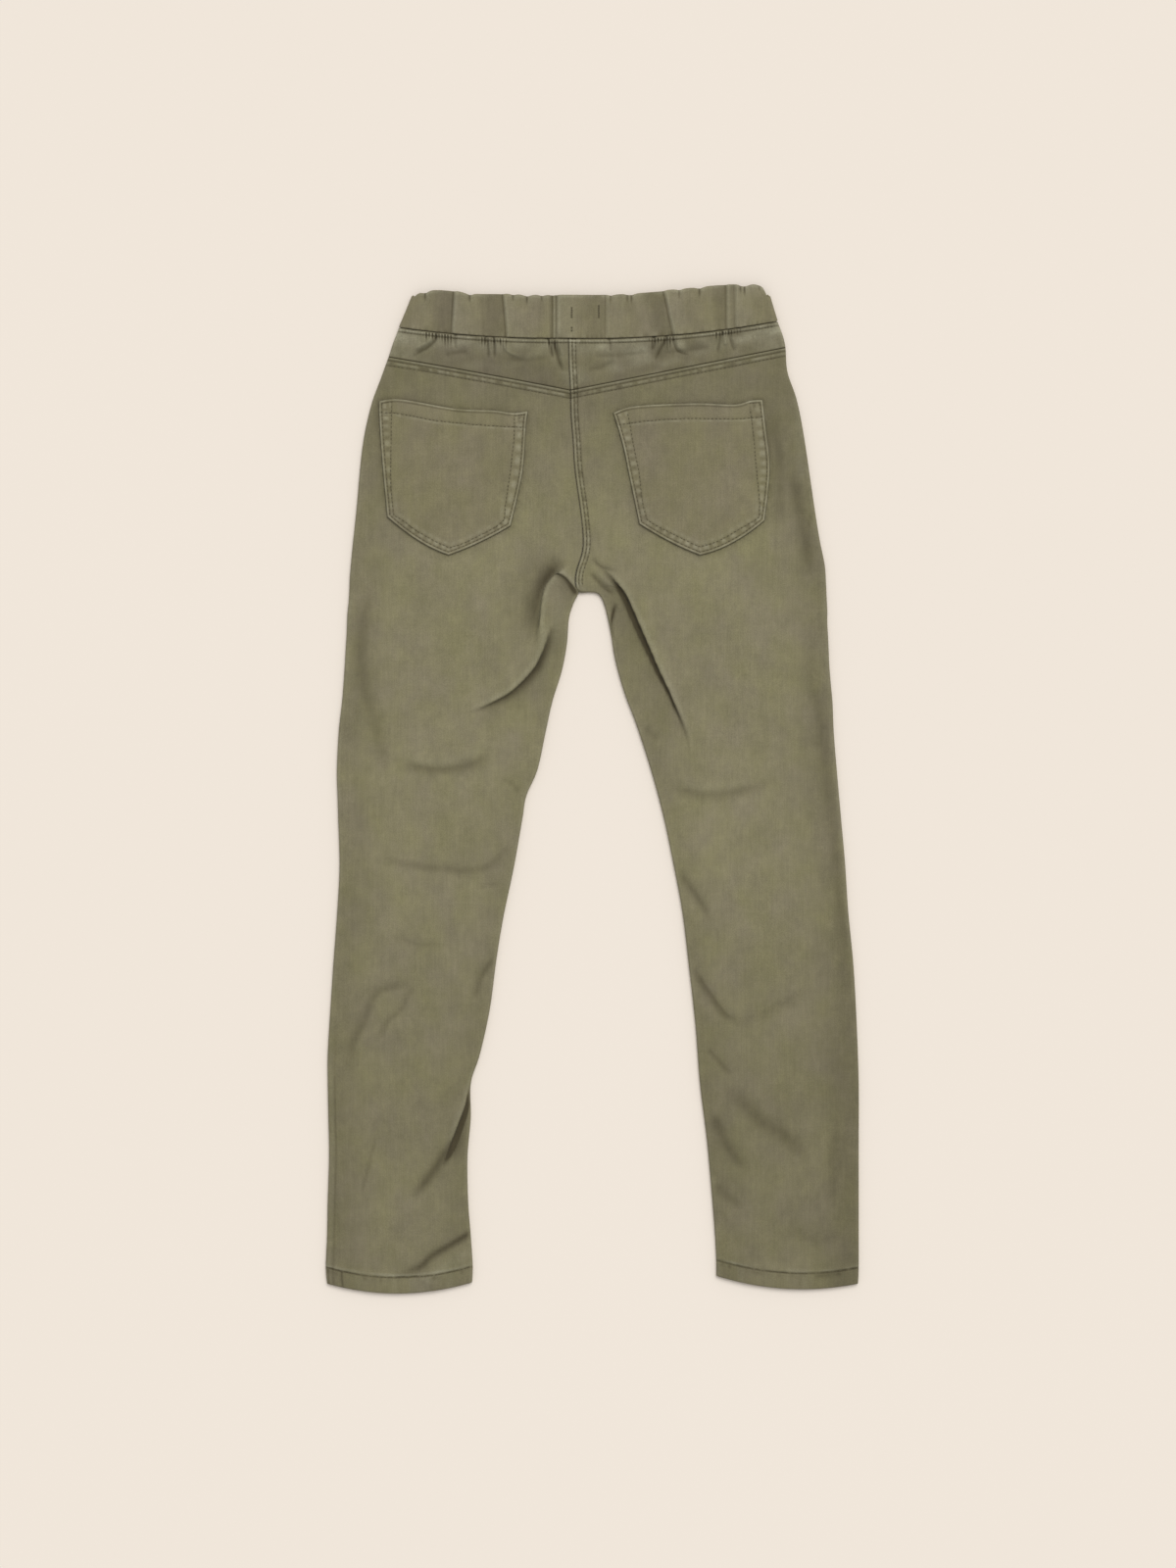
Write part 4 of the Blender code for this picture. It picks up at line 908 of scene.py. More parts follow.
def make_waistband(cloth):
    """The elastic casing: a tube pressed flat, round at both side edges and gathered on its back."""
    turns_at = np.cumsum([0, BAND_BACK, BAND_EDGE, BAND_FRONT, BAND_EDGE])
    column = np.arange(turns_at[-1])[None, :]
    on_back = column < turns_at[1]
    up = 1 - ladder(BAND_HEAD, BAND_STEP, BAND_DEPTH, BAND_TAIL)[:, None] / BAND_DEPTH
    low_left, low_right = (half.sections[0].outer_x for half in HALVES)
    top_left, top_right = BAND_TOP[0][0], BAND_TOP[-1][0]
    left = low_left + (top_left - low_left) * up
    right = low_right + (top_right - low_right) * up
    share = np.interp(column, turns_at, [0, 1, 1, 0, 0])
    turn = np.radians(np.interp(column, turns_at, [90, 90, -90, -90, -270]))
    x = left + BAND_RADIUS * (1 + np.cos(turn)) + (right - left - 2 * BAND_RADIUS) * share
    up = np.broadcast_to(up, x.shape)
    sink, notch, dark, pale = gathered(x, up)
    top = smooth_path(BAND_TOP)
    upper = np.interp(top_left + share * (top_right - top_left), top[:, 0], top[:, 1]) - notch
    lower = band_seam(x) + SEAM_GAP / 2 + BAND_EDGE_LIFT * np.abs(np.cos(turn))
    y = lower + (upper - lower) * up

    # the elastic's fine ribs, the puckers of the waist seam and the fold along the upper edge
    from_seam, from_top = y - lower, upper - y
    from_side = np.minimum(x - left, right - x).clip(0)
    ribs = 0.34 * uneven(x + 0.06 * y, 3.1, 51) * uneven(y + 0.1 * x, 21, 52) + 0.2 * uneven(x, 7.5, 53)
    puckers = uneven(x, 1.8, 54) * bell(from_seam / (2.2 + 1.5 * uneven(x, 8, 55)).clip(0.6))
    swell = BAND_CROWN * (1 - np.exp(-from_side / CROWN_REACH))
    relief = (ribs + 0.4 * puckers - sink + BAND_FILL) * (1 - bell(from_side / 3))
    below_roll = 1 - arc(from_top + 0.02, BAND_ROLL)
    height = BAND_RADIUS * (1 + np.sin(turn)) + np.where(on_back, swell + relief - below_roll,
                                                         0.5 * below_roll)
    # rubbed pale below the upper fold, and pale rib and pucker crests, partly rubbed and partly painted
    # highlight
    wear_and_highlight = 0.42 * bell((from_top - 1.2) / 1.1) * (0.6 + 0.5 * uneven(x, 4.5, 56)) + pale
    wear_and_highlight = on_back * (wear_and_highlight + 0.26 * ribs.clip(0) + 0.25 * puckers.clip(0))
    # painted shade in the hollows of the ribs and puckers, in the gap at the waist seam and in the gathers
    shade = dark + 0.3 * (-puckers).clip(0) + 0.34 * (-ribs).clip(0) + 0.9 * bell(from_seam / 0.5)
    finish = twill("waistband twill", cloth.waistband_colour, cloth)
    piece = cloth_sheet("cloth_waistband", np.stack([x, y, height], axis=2), wear_and_highlight, on_back * shade,
                        cloth.band_wall, finish, closed=True)
    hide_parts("waistband")


def resting_on(piece):
    """A search tree of a finished piece, for what lies on it."""
    return BVHTree.FromObject(piece, bpy.context.evaluated_depsgraph_get())


def height_on(surface, x, y):
    """Height in millimetres of a surface, seen from above."""
    hit = surface.ray_cast(Vector((x * MM, y * MM, 1)), Vector((0, 0, -1)))[0]
    if hit is None:
        raise RuntimeError(f"nothing lies under {x:.1f}, {y:.1f}")
    return hit.z / MM


def cornered(stretches):
    """One path of several smooth stretches, with a corner where each meets the next."""
    first, *others = (smooth_path(stretch) for stretch in stretches)
    return np.concatenate([first] + [other[1:] for other in others])


def pocket_outline(shape):
    """The pocket's edge, as a closed path that runs with the pocket on its left."""
    top = smooth_path(shape.top)
    sides = [(shape.outer, shape.outer_bow), (shape.inner, shape.inner_bow)]
    sides.sort(key=lambda side: side[0][0][0])
    tip, share = np.array(shape.tip, dtype=float), np.linspace(0, 1, 24)[:, None]
    lower = [np.array(side[-1]) + (tip - side[-1]) * share - bow * 4 * share * (1 - share) * [0, 1]
             for side, bow in sides]
    return np.concatenate([top[::-1], smooth_path(sides[0][0])[1:], lower[0][1:], lower[1][::-1][1:],
                           smooth_path(sides[1][0])[::-1][1:]])


def pocket_plan(shape, shares):
    """Places in plan of a pocket's grid, which runs from its outer to its inner edge and down."""
    across, down = (grid.ravel() for grid in np.meshgrid(shares, shares))
    upper = along_curve(shape.top, across if shape.top[0] == shape.outer[0] else 1 - across)
    outer, inner = along_curve(shape.outer, down), along_curve(shape.inner, down)
    across, down = across[:, None], down[:, None]
    to_tip = 2 * np.minimum(across, 1 - across)
    nearer = np.where(across < 0.5, shape.outer[-1], shape.inner[-1])
    bow = np.where(across < 0.5, shape.outer_bow, shape.inner_bow) * 4 * to_tip * (1 - to_tip)
    lower = nearer + (np.array(shape.tip) - nearer) * to_tip - bow * [0, 1]
    corners = ((1 - across) * ((1 - down) * shape.outer[0] + down * shape.outer[-1])
               + across * ((1 - down) * shape.inner[0] + down * shape.inner[-1]))
    return (1 - down) * upper + down * lower + (1 - across) * outer + across * inner - corners


def pocket_marks(half, x, y, from_edge, along):
    """Relief, rubbed places and painted shade of a pocket: its edge, puckers, inner row of stitches and hem,
    with painted shade in the gap at its edge, along its stitches and between its puckers.
    """
    shape = POCKETS[half.name]
    low_corners = [shape.outer[-1], shape.inner[-1], shape.tip]
    from_row, _ = distance_to(cornered(POCKET_INNER_ROWS[half.name]), x, y, 12)
    above_hem, _ = distance_to(smooth_path(POCKET_HEM_ROWS[half.name]), x, y, 14)
    relief, wear_and_highlight, shade = seam_marks(from_edge, along, POCKET_SEAM, 61)
    puckers = (0.6 * np.sin(2 * math.pi * along / PUCKER_PITCH + 2.2 * uneven(along, 24, 69))
               + 0.4 * uneven(along, 3.3, 63) + 0.35 * uneven(along, 30, 67))
    band = bell((from_edge - 5.0) / 2.2) * (from_row <= 0)
    between = (from_edge > 2.6) & (np.abs(from_row) > 0.6)
    relief += 0.4 * puckers * band * between - 0.28 * bell(from_row / 0.55)
    relief += 0.35 * smoothstep(above_hem / 1.6 + 0.3) * (above_hem > -6) - 0.3 * bell(above_hem / 0.55)
    rubbed = sum(bell(np.hypot(x - corner[0], y - corner[1]) / 9) for corner in low_corners)
    wear_and_highlight += (0.14 + 0.42 * puckers + 0.3 * rubbed).clip(0, 0.5) * band
    low = smoothstep((shape.outer[-1][1] + 30 - y) / 24)
    wear_and_highlight += low * (0.17 + 0.14 * puckers).clip(0) * bell((from_row - 2.3) / 1.4)
    wear_and_highlight += 0.4 * bell((above_hem + 1.4) / 0.7) * (0.7 + 0.4 * uneven(x, 3, 64))
    # painted shade along the inner row and the hem's stitches, and between the puckers
    shade += 0.3 * bell(from_row / 0.55) + 0.34 * (-puckers).clip(0) * band + 0.3 * bell(above_hem / 0.55)
    return relief, wear_and_highlight, shade


def make_pockets(cloth):
    """The two patch pockets, each laid on its finished back panel."""
    finish = twill("pocket twill", cloth.pocket_colour, cloth)
    shares = ladder(POCKET_EDGE, POCKET_STEP, POCKET_SIZE, POCKET_EDGE) / POCKET_SIZE
    grid = (len(shares), len(shares))
    for half in HALVES:
        flat = pocket_plan(POCKETS[half.name], shares)
        x, y = flat.T
        from_edge, travelled = distance_to(pocket_outline(POCKETS[half.name]), x, y, 12)
        from_edge = from_edge.clip(0)
        relief, wear_and_highlight, shade = pocket_marks(half, x, y, from_edge, travelled * POCKET_ROUND)
        surface = resting_on(bpy.data.objects[f"cloth_back_{half.name}"])
        under = POCKET_CLEARANCE + np.array([height_on(surface, *point) for point in flat])
        rolled = POCKET_RIM + (POCKET_CLOTH - POCKET_RIM) * arc(from_edge, POCKET_ROLL)
        puff = 0.35 * (1 - np.exp(-from_edge / 9)) + 0.16 * uneven(x, 19, 65) * uneven(y, 23, 66)
        height = under + rolled + (puff + 0.7 * relief) * arc(from_edge, 2)
        points = np.stack([x, y, height], axis=1).reshape(*grid, 3)
        points, wear_and_highlight, shade = to_the_right(half, points, wear_and_highlight.reshape(grid), shade.reshape(grid))
        piece = cloth_sheet(f"cloth_pocket_{half.name}", points, wear_and_highlight, shade, cloth.pocket_wall, finish)
        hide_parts(f"pocket_{half.name}")


def stitch_shape(thread):
    """One stitch, modelled once: points and faces of a small stretched bead, along +X."""
    bpy.ops.object.select_all(action="DESELECT")
    bpy.ops.mesh.primitive_uv_sphere_add(segments=6, ring_count=5, radius=0.5)
    bead = bpy.context.object
    bpy.ops.object.mode_set(mode="EDIT")
    bpy.ops.mesh.select_all(action="SELECT")
    bpy.ops.transform.rotate(value=math.radians(90), orient_axis="Y", center_override=(0, 0, 0))
    bpy.ops.transform.resize(value=(thread.length, thread.width, thread.width * 0.8))
    bpy.ops.object.mode_set(mode="OBJECT")
    points = np.array([vertex.co for vertex in bead.data.vertices])
    faces = [list(face.vertices) for face in bead.data.polygons]
    mesh = bead.data
    bpy.data.objects.remove(bead)
    bpy.data.meshes.remove(mesh)
    return points, faces


def row_of_stitches(surface, path, pitch, length, seed, short=0.0):
    """Centre, direction and upward side of each stitch of a row that is sewn along `path` on a surface.

    The row stops `short` of both ends of the path.
    """
    path = np.asarray(path, dtype=float)
    travelled = np.concatenate([[0], np.cumsum(np.linalg.norm(np.diff(path, axis=0), axis=1))])
    sewn = travelled[-1] - 2 * short
    count = max(1, int(sewn / pitch))
    middles = short + (np.arange(count) + 0.5) * sewn / count
    middles = middles + PITCH_WANDER * pitch * np.random.default_rng(seed).uniform(-1, 1, count)
    frames = []
    for middle in middles:
        ends = []
        for place in (middle - length / 2, middle + length / 2):
            place = min(max(place, short), short + sewn)
            x, y = (np.interp(place, travelled, path[:, axis]) for axis in (0, 1))
            ends.append(Vector((x, y, height_on(surface, x, y))))
        along = (ends[1] - ends[0]).normalized()
        side = Vector((0, 0, 1)).cross(along).normalized()
        up = along.cross(side)
        frames.append((ends[0] + ends[1]) / 2 + up * THREAD_LIFT)
        frames.extend((along, side, up))
    return np.array(frames).reshape(-1, 4, 3)


def sew(name, rows, thread, material):
    """One object of all the stitches in some rows, copies of one modelled stitch."""
    points, faces = stitch_shape(thread)
    frames = np.concatenate(rows)
    places = frames[:, :1] * MM + np.einsum("pk,nkj->npj", points, frames[:, 1:])
    step = len(points)
    mesh = bpy.data.meshes.new(name)
    copies = [[corner + step * copy for corner in face] for copy in range(len(frames)) for face in faces]
    mesh.from_pydata(places.reshape(-1, 3).tolist(), [], copies)
    mesh.materials.append(material)
    mesh.shade_smooth()
    piece = bpy.data.objects.new(name, mesh)
    bpy.context.scene.collection.objects.link(piece)
    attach(piece, "root")


def beside(path, distance):
    """A path moved sideways by a distance, to its left where that is above 0."""
    path = np.asarray(path, dtype=float)
    run = np.gradient(path, axis=0)
    left = np.stack([-run[:, 1], run[:, 0]], axis=1) / np.linalg.norm(run, axis=1)[:, None]
    return path + left * distance


def sewn_section(surface, half, number, ends, down, pitch, length, seed):
    """A row of stitches `down` millimetres below a section, kept clear of its outer and inner `ends`."""
    section = half.sections[number]
    start, stop = sorted([section.outer_x - half.side * ends[0], section.inner_x + half.side * ends[1]])
    x = np.linspace(start, stop, 160)
    path = np.stack([x, section_line(half, number, x) - down], axis=1)
    return row_of_stitches(surface, path, pitch, length, seed)


def pocket_rows(half, pitch, length):
    """Rows of stitches of a pocket: its edge, inner row and hem, and a tack at each upper corner."""
    on_pocket = resting_on(bpy.data.objects[f"cloth_pocket_{half.name}"])
    shape = POCKETS[half.name]
    top = smooth_path(shape.top)
    below_top = beside(pocket_outline(shape), POCKET_SEAM.first)[len(top) - 1:]
    hem = smooth_path(POCKET_HEM_ROWS[half.name])[2:-2]
    rows = [row_of_stitches(on_pocket, below_top, pitch, length, 79, short=2.0),
            row_of_stitches(on_pocket, cornered(POCKET_INNER_ROWS[half.name]), pitch, length, 83, short=2.5),
            row_of_stitches(on_pocket, hem, pitch, length, 89)]
    for corner, inwards in ((top[0], 1), (top[-1], -1)):
        x = corner[0] + inwards * np.linspace(1.8, 10.5, 12)
        tack = np.stack([x, np.interp(x, top[:, 0], top[:, 1]) - 2.4], axis=1)
        rows.append(row_of_stitches(on_pocket, tack, CORNER_PITCH * pitch, CORNER_LENGTH * length, 97))
    return rows


def centre_rows(pitch, length):
    """The centre seam's two rows of stitches, on the right yoke and on the right back down to the crotch."""
    on_yoke = resting_on(bpy.data.objects["cloth_yoke_right"])
    on_back = resting_on(bpy.data.objects["cloth_back_right"])
    seam = spline(CENTRE_SEAM, np.linspace(0, CROTCH_SECTION, 300))
    rows = []
    for beyond in (CENTRE_BACK_SEAM.first, CENTRE_BACK_SEAM.second):
        path = beside(seam, beyond)
        below_band = section_line(HALVES[1], 0, path[:, 0]) - path[:, 1]
        below_yoke = section_line(HALVES[1], YOKE_SECTION, path[:, 0]) - path[:, 1]
        in_yoke = path[(below_yoke < 0) & (below_band > 1)]
        in_back = path[(below_yoke > 1) & (path[:, 1] > CENTRE_ROWS_END)]
        rows.append(row_of_stitches(on_yoke, in_yoke, pitch, length, 101))
        rows.append(row_of_stitches(on_back, in_back, pitch, length, 103))
    return rows


def make_stitches(thread):
    """All the rows of stitches, sewn on the finished cloth."""
    finish = thread_finish(thread)
    length, pitch = thread.length / MM, thread.pitch / MM
    waist, yoke, pockets, hems = [], [], [], []
    for half in HALVES:
        on_yoke = resting_on(bpy.data.objects[f"cloth_yoke_{half.name}"])
        on_back = resting_on(bpy.data.objects[f"cloth_back_{half.name}"])
        last = len(half.sections) - 1
        waist.append(sewn_section(on_yoke, half, 0, (3.5, 0.8), WAIST_SEAM.first, WAIST_STITCH * pitch,
                                  WAIST_STITCH * length, 71))
        for down in (YOKE_SEAM.first, YOKE_SEAM.second):
            yoke.append(sewn_section(on_back, half, YOKE_SECTION, (3.5, 0.8), down, pitch, length, 73))
        hems.append(sewn_section(on_back, half, last, (1.5, 1.5), -HEM_HEIGHT, HEM_PITCH * pitch, length, 77))
        pockets.extend(pocket_rows(half, pitch, length))
    on_band = resting_on(bpy.data.objects["cloth_waistband"])
    tacks = [row_of_stitches(on_band, beside(path, aside), TACK_PITCH, TACK_LENGTH, 107)
             for path in LABEL_TACKS for aside in (-TACK_SPACING / 2, TACK_SPACING / 2)]
    for name, rows, slot in (("stitches_waist", waist, "waistband"),
                             ("stitches_label_tacks", tacks, "waistband"),
                             ("stitches_yoke_seams", yoke, "leg"),
                             ("stitches_centre_seam", centre_rows(pitch, length), "leg"),
                             ("stitches_pockets", pockets, "pocket"),
                             ("stitches_leg_hems", hems, "leg")):
        sew(name, rows, thread, finish)


def add_node(nodes, kind, **values):
    """A shader node with some inputs set by name, and other settings by attribute."""
    node = nodes.new(kind)
    for name, value in values.items():
        if name in node.inputs:
            node.inputs[name].default_value = value
        else:
            setattr(node, name, value)
    return node


def cloth_noise(tree, coordinates, stretch, scale, detail, low, high):
    """Noise over the cloth, stretched along its axes, mapped from its middle range to low..high."""
    mapping = add_node(tree.nodes, "ShaderNodeMapping", Scale=stretch)
    noise = add_node(tree.nodes, "ShaderNodeTexNoise", Scale=scale, Detail=detail, Roughness=0.55)
    spread = add_node(tree.nodes, "ShaderNodeMapRange")
    spread.inputs["From Min"].default_value = 0.32
    spread.inputs["From Max"].default_value = 0.68
    spread.inputs["To Min"].default_value = low
    spread.inputs["To Max"].default_value = high
    tree.links.new(coordinates, mapping.inputs["Vector"])
    tree.links.new(mapping.outputs["Vector"], noise.inputs["Vector"])
    tree.links.new(noise.outputs["Fac"], spread.inputs["Value"])
    return spread.outputs["Result"]


def combine(tree, operation, first, second):
    """A Math node of two values, each an output socket or a number."""
    node = tree.nodes.new("ShaderNodeMath")
    node.operation = operation
    for socket, value in zip(node.inputs, (first, second)):
        if isinstance(value, (int, float)):
            socket.default_value = value
        else:
            tree.links.new(value, socket)
    return node.outputs[0]


def blend_colours(tree, share, first, second):
    """A Mix node between two colours, each an output socket or a colour."""
    node = tree.nodes.new("ShaderNodeMix")
    node.data_type = "RGBA"
    for number, value in ((0, share), (6, first), (7, second)):
        tree.links.new(value, node.inputs[number])
    return node.outputs[2]


def two_tones(tree, coordinates, scale, detail, colour, shares):
    """A colour that wanders between two shares of its brightness."""
    tone = cloth_noise(tree, coordinates, (1, 1, 1), scale, detail, 0, 1)
    ends = [tree.nodes.new("ShaderNodeRGB").outputs[0] for _ in shares]
    for end, share in zip(ends, shares):
        end.default_value = (*(share * channel for channel in colour), 1)
    return blend_colours(tree, tone, *ends)


def washed_twill():
    """Node group for washed twill: its mottle, slubs and ribs, paler with wear and painted highlight, and
    darker with painted shade in grooves and creases.
    """
    if "washed twill" in bpy.data.node_groups:
        return bpy.data.node_groups["washed twill"]
    tree = bpy.data.node_groups.new("washed twill", "ShaderNodeTree")
    for name in ("Cloth", "Greener", "Wear and highlight", "Painted shade"):
        tree.interface.new_socket(name, in_out="INPUT", socket_type="NodeSocketColor")
    tree.interface.new_socket("Colour", in_out="OUTPUT", socket_type="NodeSocketColor")
    tree.interface.new_socket("Normal", in_out="OUTPUT", socket_type="NodeSocketVector")
    given = tree.nodes.new("NodeGroupInput")
    result = tree.nodes.new("NodeGroupOutput")
    coordinates = tree.nodes.new("ShaderNodeTexCoord").outputs["Object"]
    patches = cloth_noise(tree, coordinates, (1, 0.7, 1), 42, 3, 0, 1)
    broad = cloth_noise(tree, coordinates, (1, 1, 1), 14, 2, 0.955, 1.045)
    clouds = cloth_noise(tree, coordinates, (1, 0.8, 1), 95, 4, 0.93, 1.07)
    blotches = cloth_noise(tree, coordinates, (1, 0.7, 1), 240, 3, 0.965, 1.035)
    warp = cloth_noise(tree, coordinates, (1, 0.045, 1), 900, 2, 0.955, 1.045)
    weft = cloth_noise(tree, coordinates, (0.06, 1, 1), 760, 2, 0.985, 1.015)
    grain = cloth_noise(tree, coordinates, (1, 1, 1), 1500, 2, 0.89, 1.11)
    brightness = broad
    for layer in (clouds, blotches, warp, weft, grain):
        brightness = combine(tree, "MULTIPLY", brightness, layer)
    colour = blend_colours(tree, patches, given.outputs["Cloth"], given.outputs["Greener"])
    # the paler share, from wear and from painted highlight on fold crests, overlap edges, gathers and ribs
    wear_and_highlight = tree.nodes.new("ShaderNodeAttribute")
    wear_and_highlight.attribute_name = "wear_and_highlight"
    shade = tree.nodes.new("ShaderNodeAttribute")
    shade.attribute_name = "shade"
    rubbed = cloth_noise(tree, coordinates, (1, 1, 1), 420, 3, 0.72, 1.2)
    wear_and_highlight_share = combine(tree, "MINIMUM", combine(tree, "MULTIPLY", wear_and_highlight.outputs["Fac"], rubbed), 1)
    colour = blend_colours(tree, wear_and_highlight_share, colour, given.outputs["Wear and highlight"])
    # the darker share, mostly painted shade in creases, grooves, gaps, under overlaps and down the lower leg
    shade_share = combine(tree, "MINIMUM", combine(tree, "MAXIMUM", shade.outputs["Fac"], 0), 1)
    colour = blend_colours(tree, shade_share, colour, given.outputs["Painted shade"])
    lit = tree.nodes.new("ShaderNodeVectorMath")
    lit.operation = "SCALE"
    tree.links.new(colour, lit.inputs[0])
    tree.links.new(brightness, lit.inputs["Scale"])
    ribs = add_node(tree.nodes, "ShaderNodeTexWave", Scale=580, Distortion=0.6)
    ribs.wave_type = "BANDS"
    ribs.bands_direction = "DIAGONAL"
    tree.links.new(coordinates, ribs.inputs["Vector"])
    height = combine(tree, "ADD", combine(tree, "MULTIPLY", ribs.outputs["Fac"], 0.4), grain)
    bump = add_node(tree.nodes, "ShaderNodeBump", Strength=0.35, Distance=0.0003)
    tree.links.new(height, bump.inputs["Height"])
    tree.links.new(lit.outputs["Vector"], result.inputs["Colour"])
    tree.links.new(bump.outputs["Normal"], result.inputs["Normal"])
    return tree


def twill(name, colour, cloth):
    """Material of one piece's twill."""
    material = bpy.data.materials.new(name)
    material.use_nodes = True
    tree = material.node_tree
    shader = tree.nodes["Principled BSDF"]
    weave = tree.nodes.new("ShaderNodeGroup")
    weave.node_tree = washed_twill()
    red, green, blue = colour
    weave.inputs["Cloth"].default_value = (red, green * 0.985, blue * 1.03, 1)
    weave.inputs["Greener"].default_value = (red, green * 1.015, blue * 0.9, 1)
    weave.inputs["Wear and highlight"].default_value = (*cloth.wear_and_highlight_colour, 1)
    weave.inputs["Painted shade"].default_value = (*cloth.painted_shade_colour, 1)
    for name, value in (("Roughness", 0.92), ("Sheen Weight", 0.06), ("Sheen Roughness", 0.6),
                        ("Specular IOR Level", 0.2)):
        shader.inputs[name].default_value = value
    tree.links.new(weave.outputs["Colour"], shader.inputs["Base Color"])
    tree.links.new(weave.outputs["Normal"], shader.inputs["Normal"])
    return material


def thread_finish(thread):
    """Material of the thread: darker than the twill, with fine twisted plies."""
    material = bpy.data.materials.new("sewing thread")
    material.use_nodes = True
    tree = material.node_tree
    shader = tree.nodes["Principled BSDF"]
    coordinates = tree.nodes.new("ShaderNodeTexCoord").outputs["Object"]
    plies = add_node(tree.nodes, "ShaderNodeTexWave", Scale=1400, Distortion=0.5)
    plies.bands_direction = "DIAGONAL"
    tree.links.new(coordinates, plies.inputs["Vector"])
    colour = two_tones(tree, coordinates, 300, 1, thread.colour, (0.85, 1.25))
    tree.links.new(colour, shader.inputs["Base Color"])
    bump = add_node(tree.nodes, "ShaderNodeBump", Strength=0.3, Distance=0.0001)
    tree.links.new(plies.outputs["Fac"], bump.inputs["Height"])
    tree.links.new(bump.outputs["Normal"], shader.inputs["Normal"])
    shader.inputs["Roughness"].default_value = 0.6
    return material


def make_stage(stage):
    """A plain pale floor, soft studio light and a camera that looks straight down."""
    bpy.ops.object.select_all(action="DESELECT")
    bpy.ops.mesh.primitive_plane_add(size=FLOOR_SIZE, location=(0, 0, -FLOOR_DROP))
    floor = bpy.context.object
    floor.name = "floor"
    paper = bpy.data.materials.new("pale floor")
    paper.use_nodes = True
    tree = paper.node_tree
    shader = tree.nodes["Principled BSDF"]
    coordinates = tree.nodes.new("ShaderNodeTexCoord").outputs["Object"]
    colour = two_tones(tree, coordinates, 1.3, 2, stage.floor_colour, (0.995, 1))
    tree.links.new(colour, shader.inputs["Base Color"])
    shader.inputs["Roughness"].default_value = 1
    shader.inputs["Specular IOR Level"].default_value = 0
    floor.data.materials.append(paper)

    scene = bpy.context.scene
    world = bpy.data.worlds.new("studio")
    world.use_nodes = True
    world.node_tree.nodes["Background"].inputs["Color"].default_value = (1, 1, 1, 1)
    world.node_tree.nodes["Background"].inputs["Strength"].default_value = stage.sky_strength
    scene.world = world
    bpy.ops.object.light_add(type="SUN", location=KEY_PLACE)
    key = bpy.context.object
    key.name = "key_light"
    key.data.angle = stage.key_softness
    key.data.energy = stage.key_strength
    key.rotation_euler = (Vector((0, 0, 0)) - key.location).to_track_quat("-Z", "Y").to_euler()

    lens = bpy.data.cameras.new("camera")
    lens.lens = CAMERA_LENS
    lens.sensor_width = 36
    lens.clip_end = 100
    camera = bpy.data.objects.new("camera", lens)
    camera.location = CAMERA_PLACE
    scene.collection.objects.link(camera)
    scene.camera = camera
    scene.view_settings.view_transform = "Standard"


class JeggingsCloth(bpy.types.PropertyGroup):
    wall: FloatProperty(name="Leg and yoke wall", description="Thickness of the twill as it lies",
                        default=0.0011, min=0.0005, max=0.003, unit="LENGTH")
    band_wall: FloatProperty(name="Waistband wall", description="Thickness of the casing with its elastic",
                             default=0.0016, min=0.0005, max=0.003, unit="LENGTH")
    pocket_wall: FloatProperty(name="Pocket wall", description="Thickness of the pocket's cloth",
                               default=0.0009, min=0.0004, max=0.002, unit="LENGTH")
    leg_colour: FloatVectorProperty(name="Leg colour", description="Twill of the legs", subtype="COLOR",
                                    default=(0.220, 0.198, 0.119), min=0, max=1)
    yoke_colour: FloatVectorProperty(name="Yoke colour", description="Twill of the yokes", subtype="COLOR",
                                     default=(0.176, 0.156, 0.097), min=0, max=1)
    waistband_colour: FloatVectorProperty(name="Waistband colour", description="Twill of the casing",
                                          subtype="COLOR", default=(0.204, 0.180, 0.112), min=0, max=1)
    pocket_colour: FloatVectorProperty(name="Pocket colour", description="Twill of the pockets",
                                       subtype="COLOR", default=(0.199, 0.176, 0.107), min=0, max=1)
    # paler colour: twill rubbed pale on seams, hems and pockets, and painted highlight on fold crests,
    # overlap edges, gathers and ribs
    wear_and_highlight_colour: FloatVectorProperty(name="Worn colour", description="Twill rubbed pale on ridges",
                                     subtype="COLOR", default=(0.345, 0.325, 0.225), min=0, max=1)
    # painted shade: the colour that creases, grooves, seam gaps and the cloth under overlaps mix towards
    painted_shade_colour: FloatVectorProperty(name="Groove colour", description="Painted shade in creases, grooves and gaps",
                                       subtype="COLOR", default=(0.066, 0.054, 0.028), min=0, max=1)


class JeggingsThread(bpy.types.PropertyGroup):
    length: FloatProperty(name="Stitch length", description="Length of each stitch that shows",
                          default=0.0019, min=0.001, max=0.005, unit="LENGTH")
    width: FloatProperty(name="Thread width", description="Width of the thread", default=0.00065, min=0.0002,
                         max=0.001, unit="LENGTH")
    pitch: FloatProperty(name="Stitch pitch", description="From the middle of a stitch to the next",
                         default=0.0030, min=0.0015, max=0.006, unit="LENGTH")
    colour: FloatVectorProperty(name="Thread colour", description="Sewing thread", subtype="COLOR",
                                default=(0.082, 0.068, 0.032), min=0, max=1)


class JeggingsStage(bpy.types.PropertyGroup):
    floor_colour: FloatVectorProperty(name="Floor colour", description="Plain pale floor", subtype="COLOR",
                                      default=(0.871, 0.791, 0.701), min=0, max=1)
    sky_strength: FloatProperty(name="Sky strength", description="Even light from all round", default=0.55,
                                min=0, max=3)
    key_strength: FloatProperty(name="Key strength", description="Soft light from beyond the waist",
                                default=1.68, min=0, max=10)
    key_softness: FloatProperty(name="Key softness", description="Angle that the soft light fills",
                                default=0.7, min=0, max=3, subtype="ANGLE")


class OBJECT_OT_jeggings_stage(bpy.types.Operator):
    """Add the floor, the light and the camera"""
    bl_idname = "object.jeggings_stage"
    bl_label = "Stage"

    def execute(self, context):
        make_stage(context.scene.jeggings_stage)
        return {"FINISHED"}


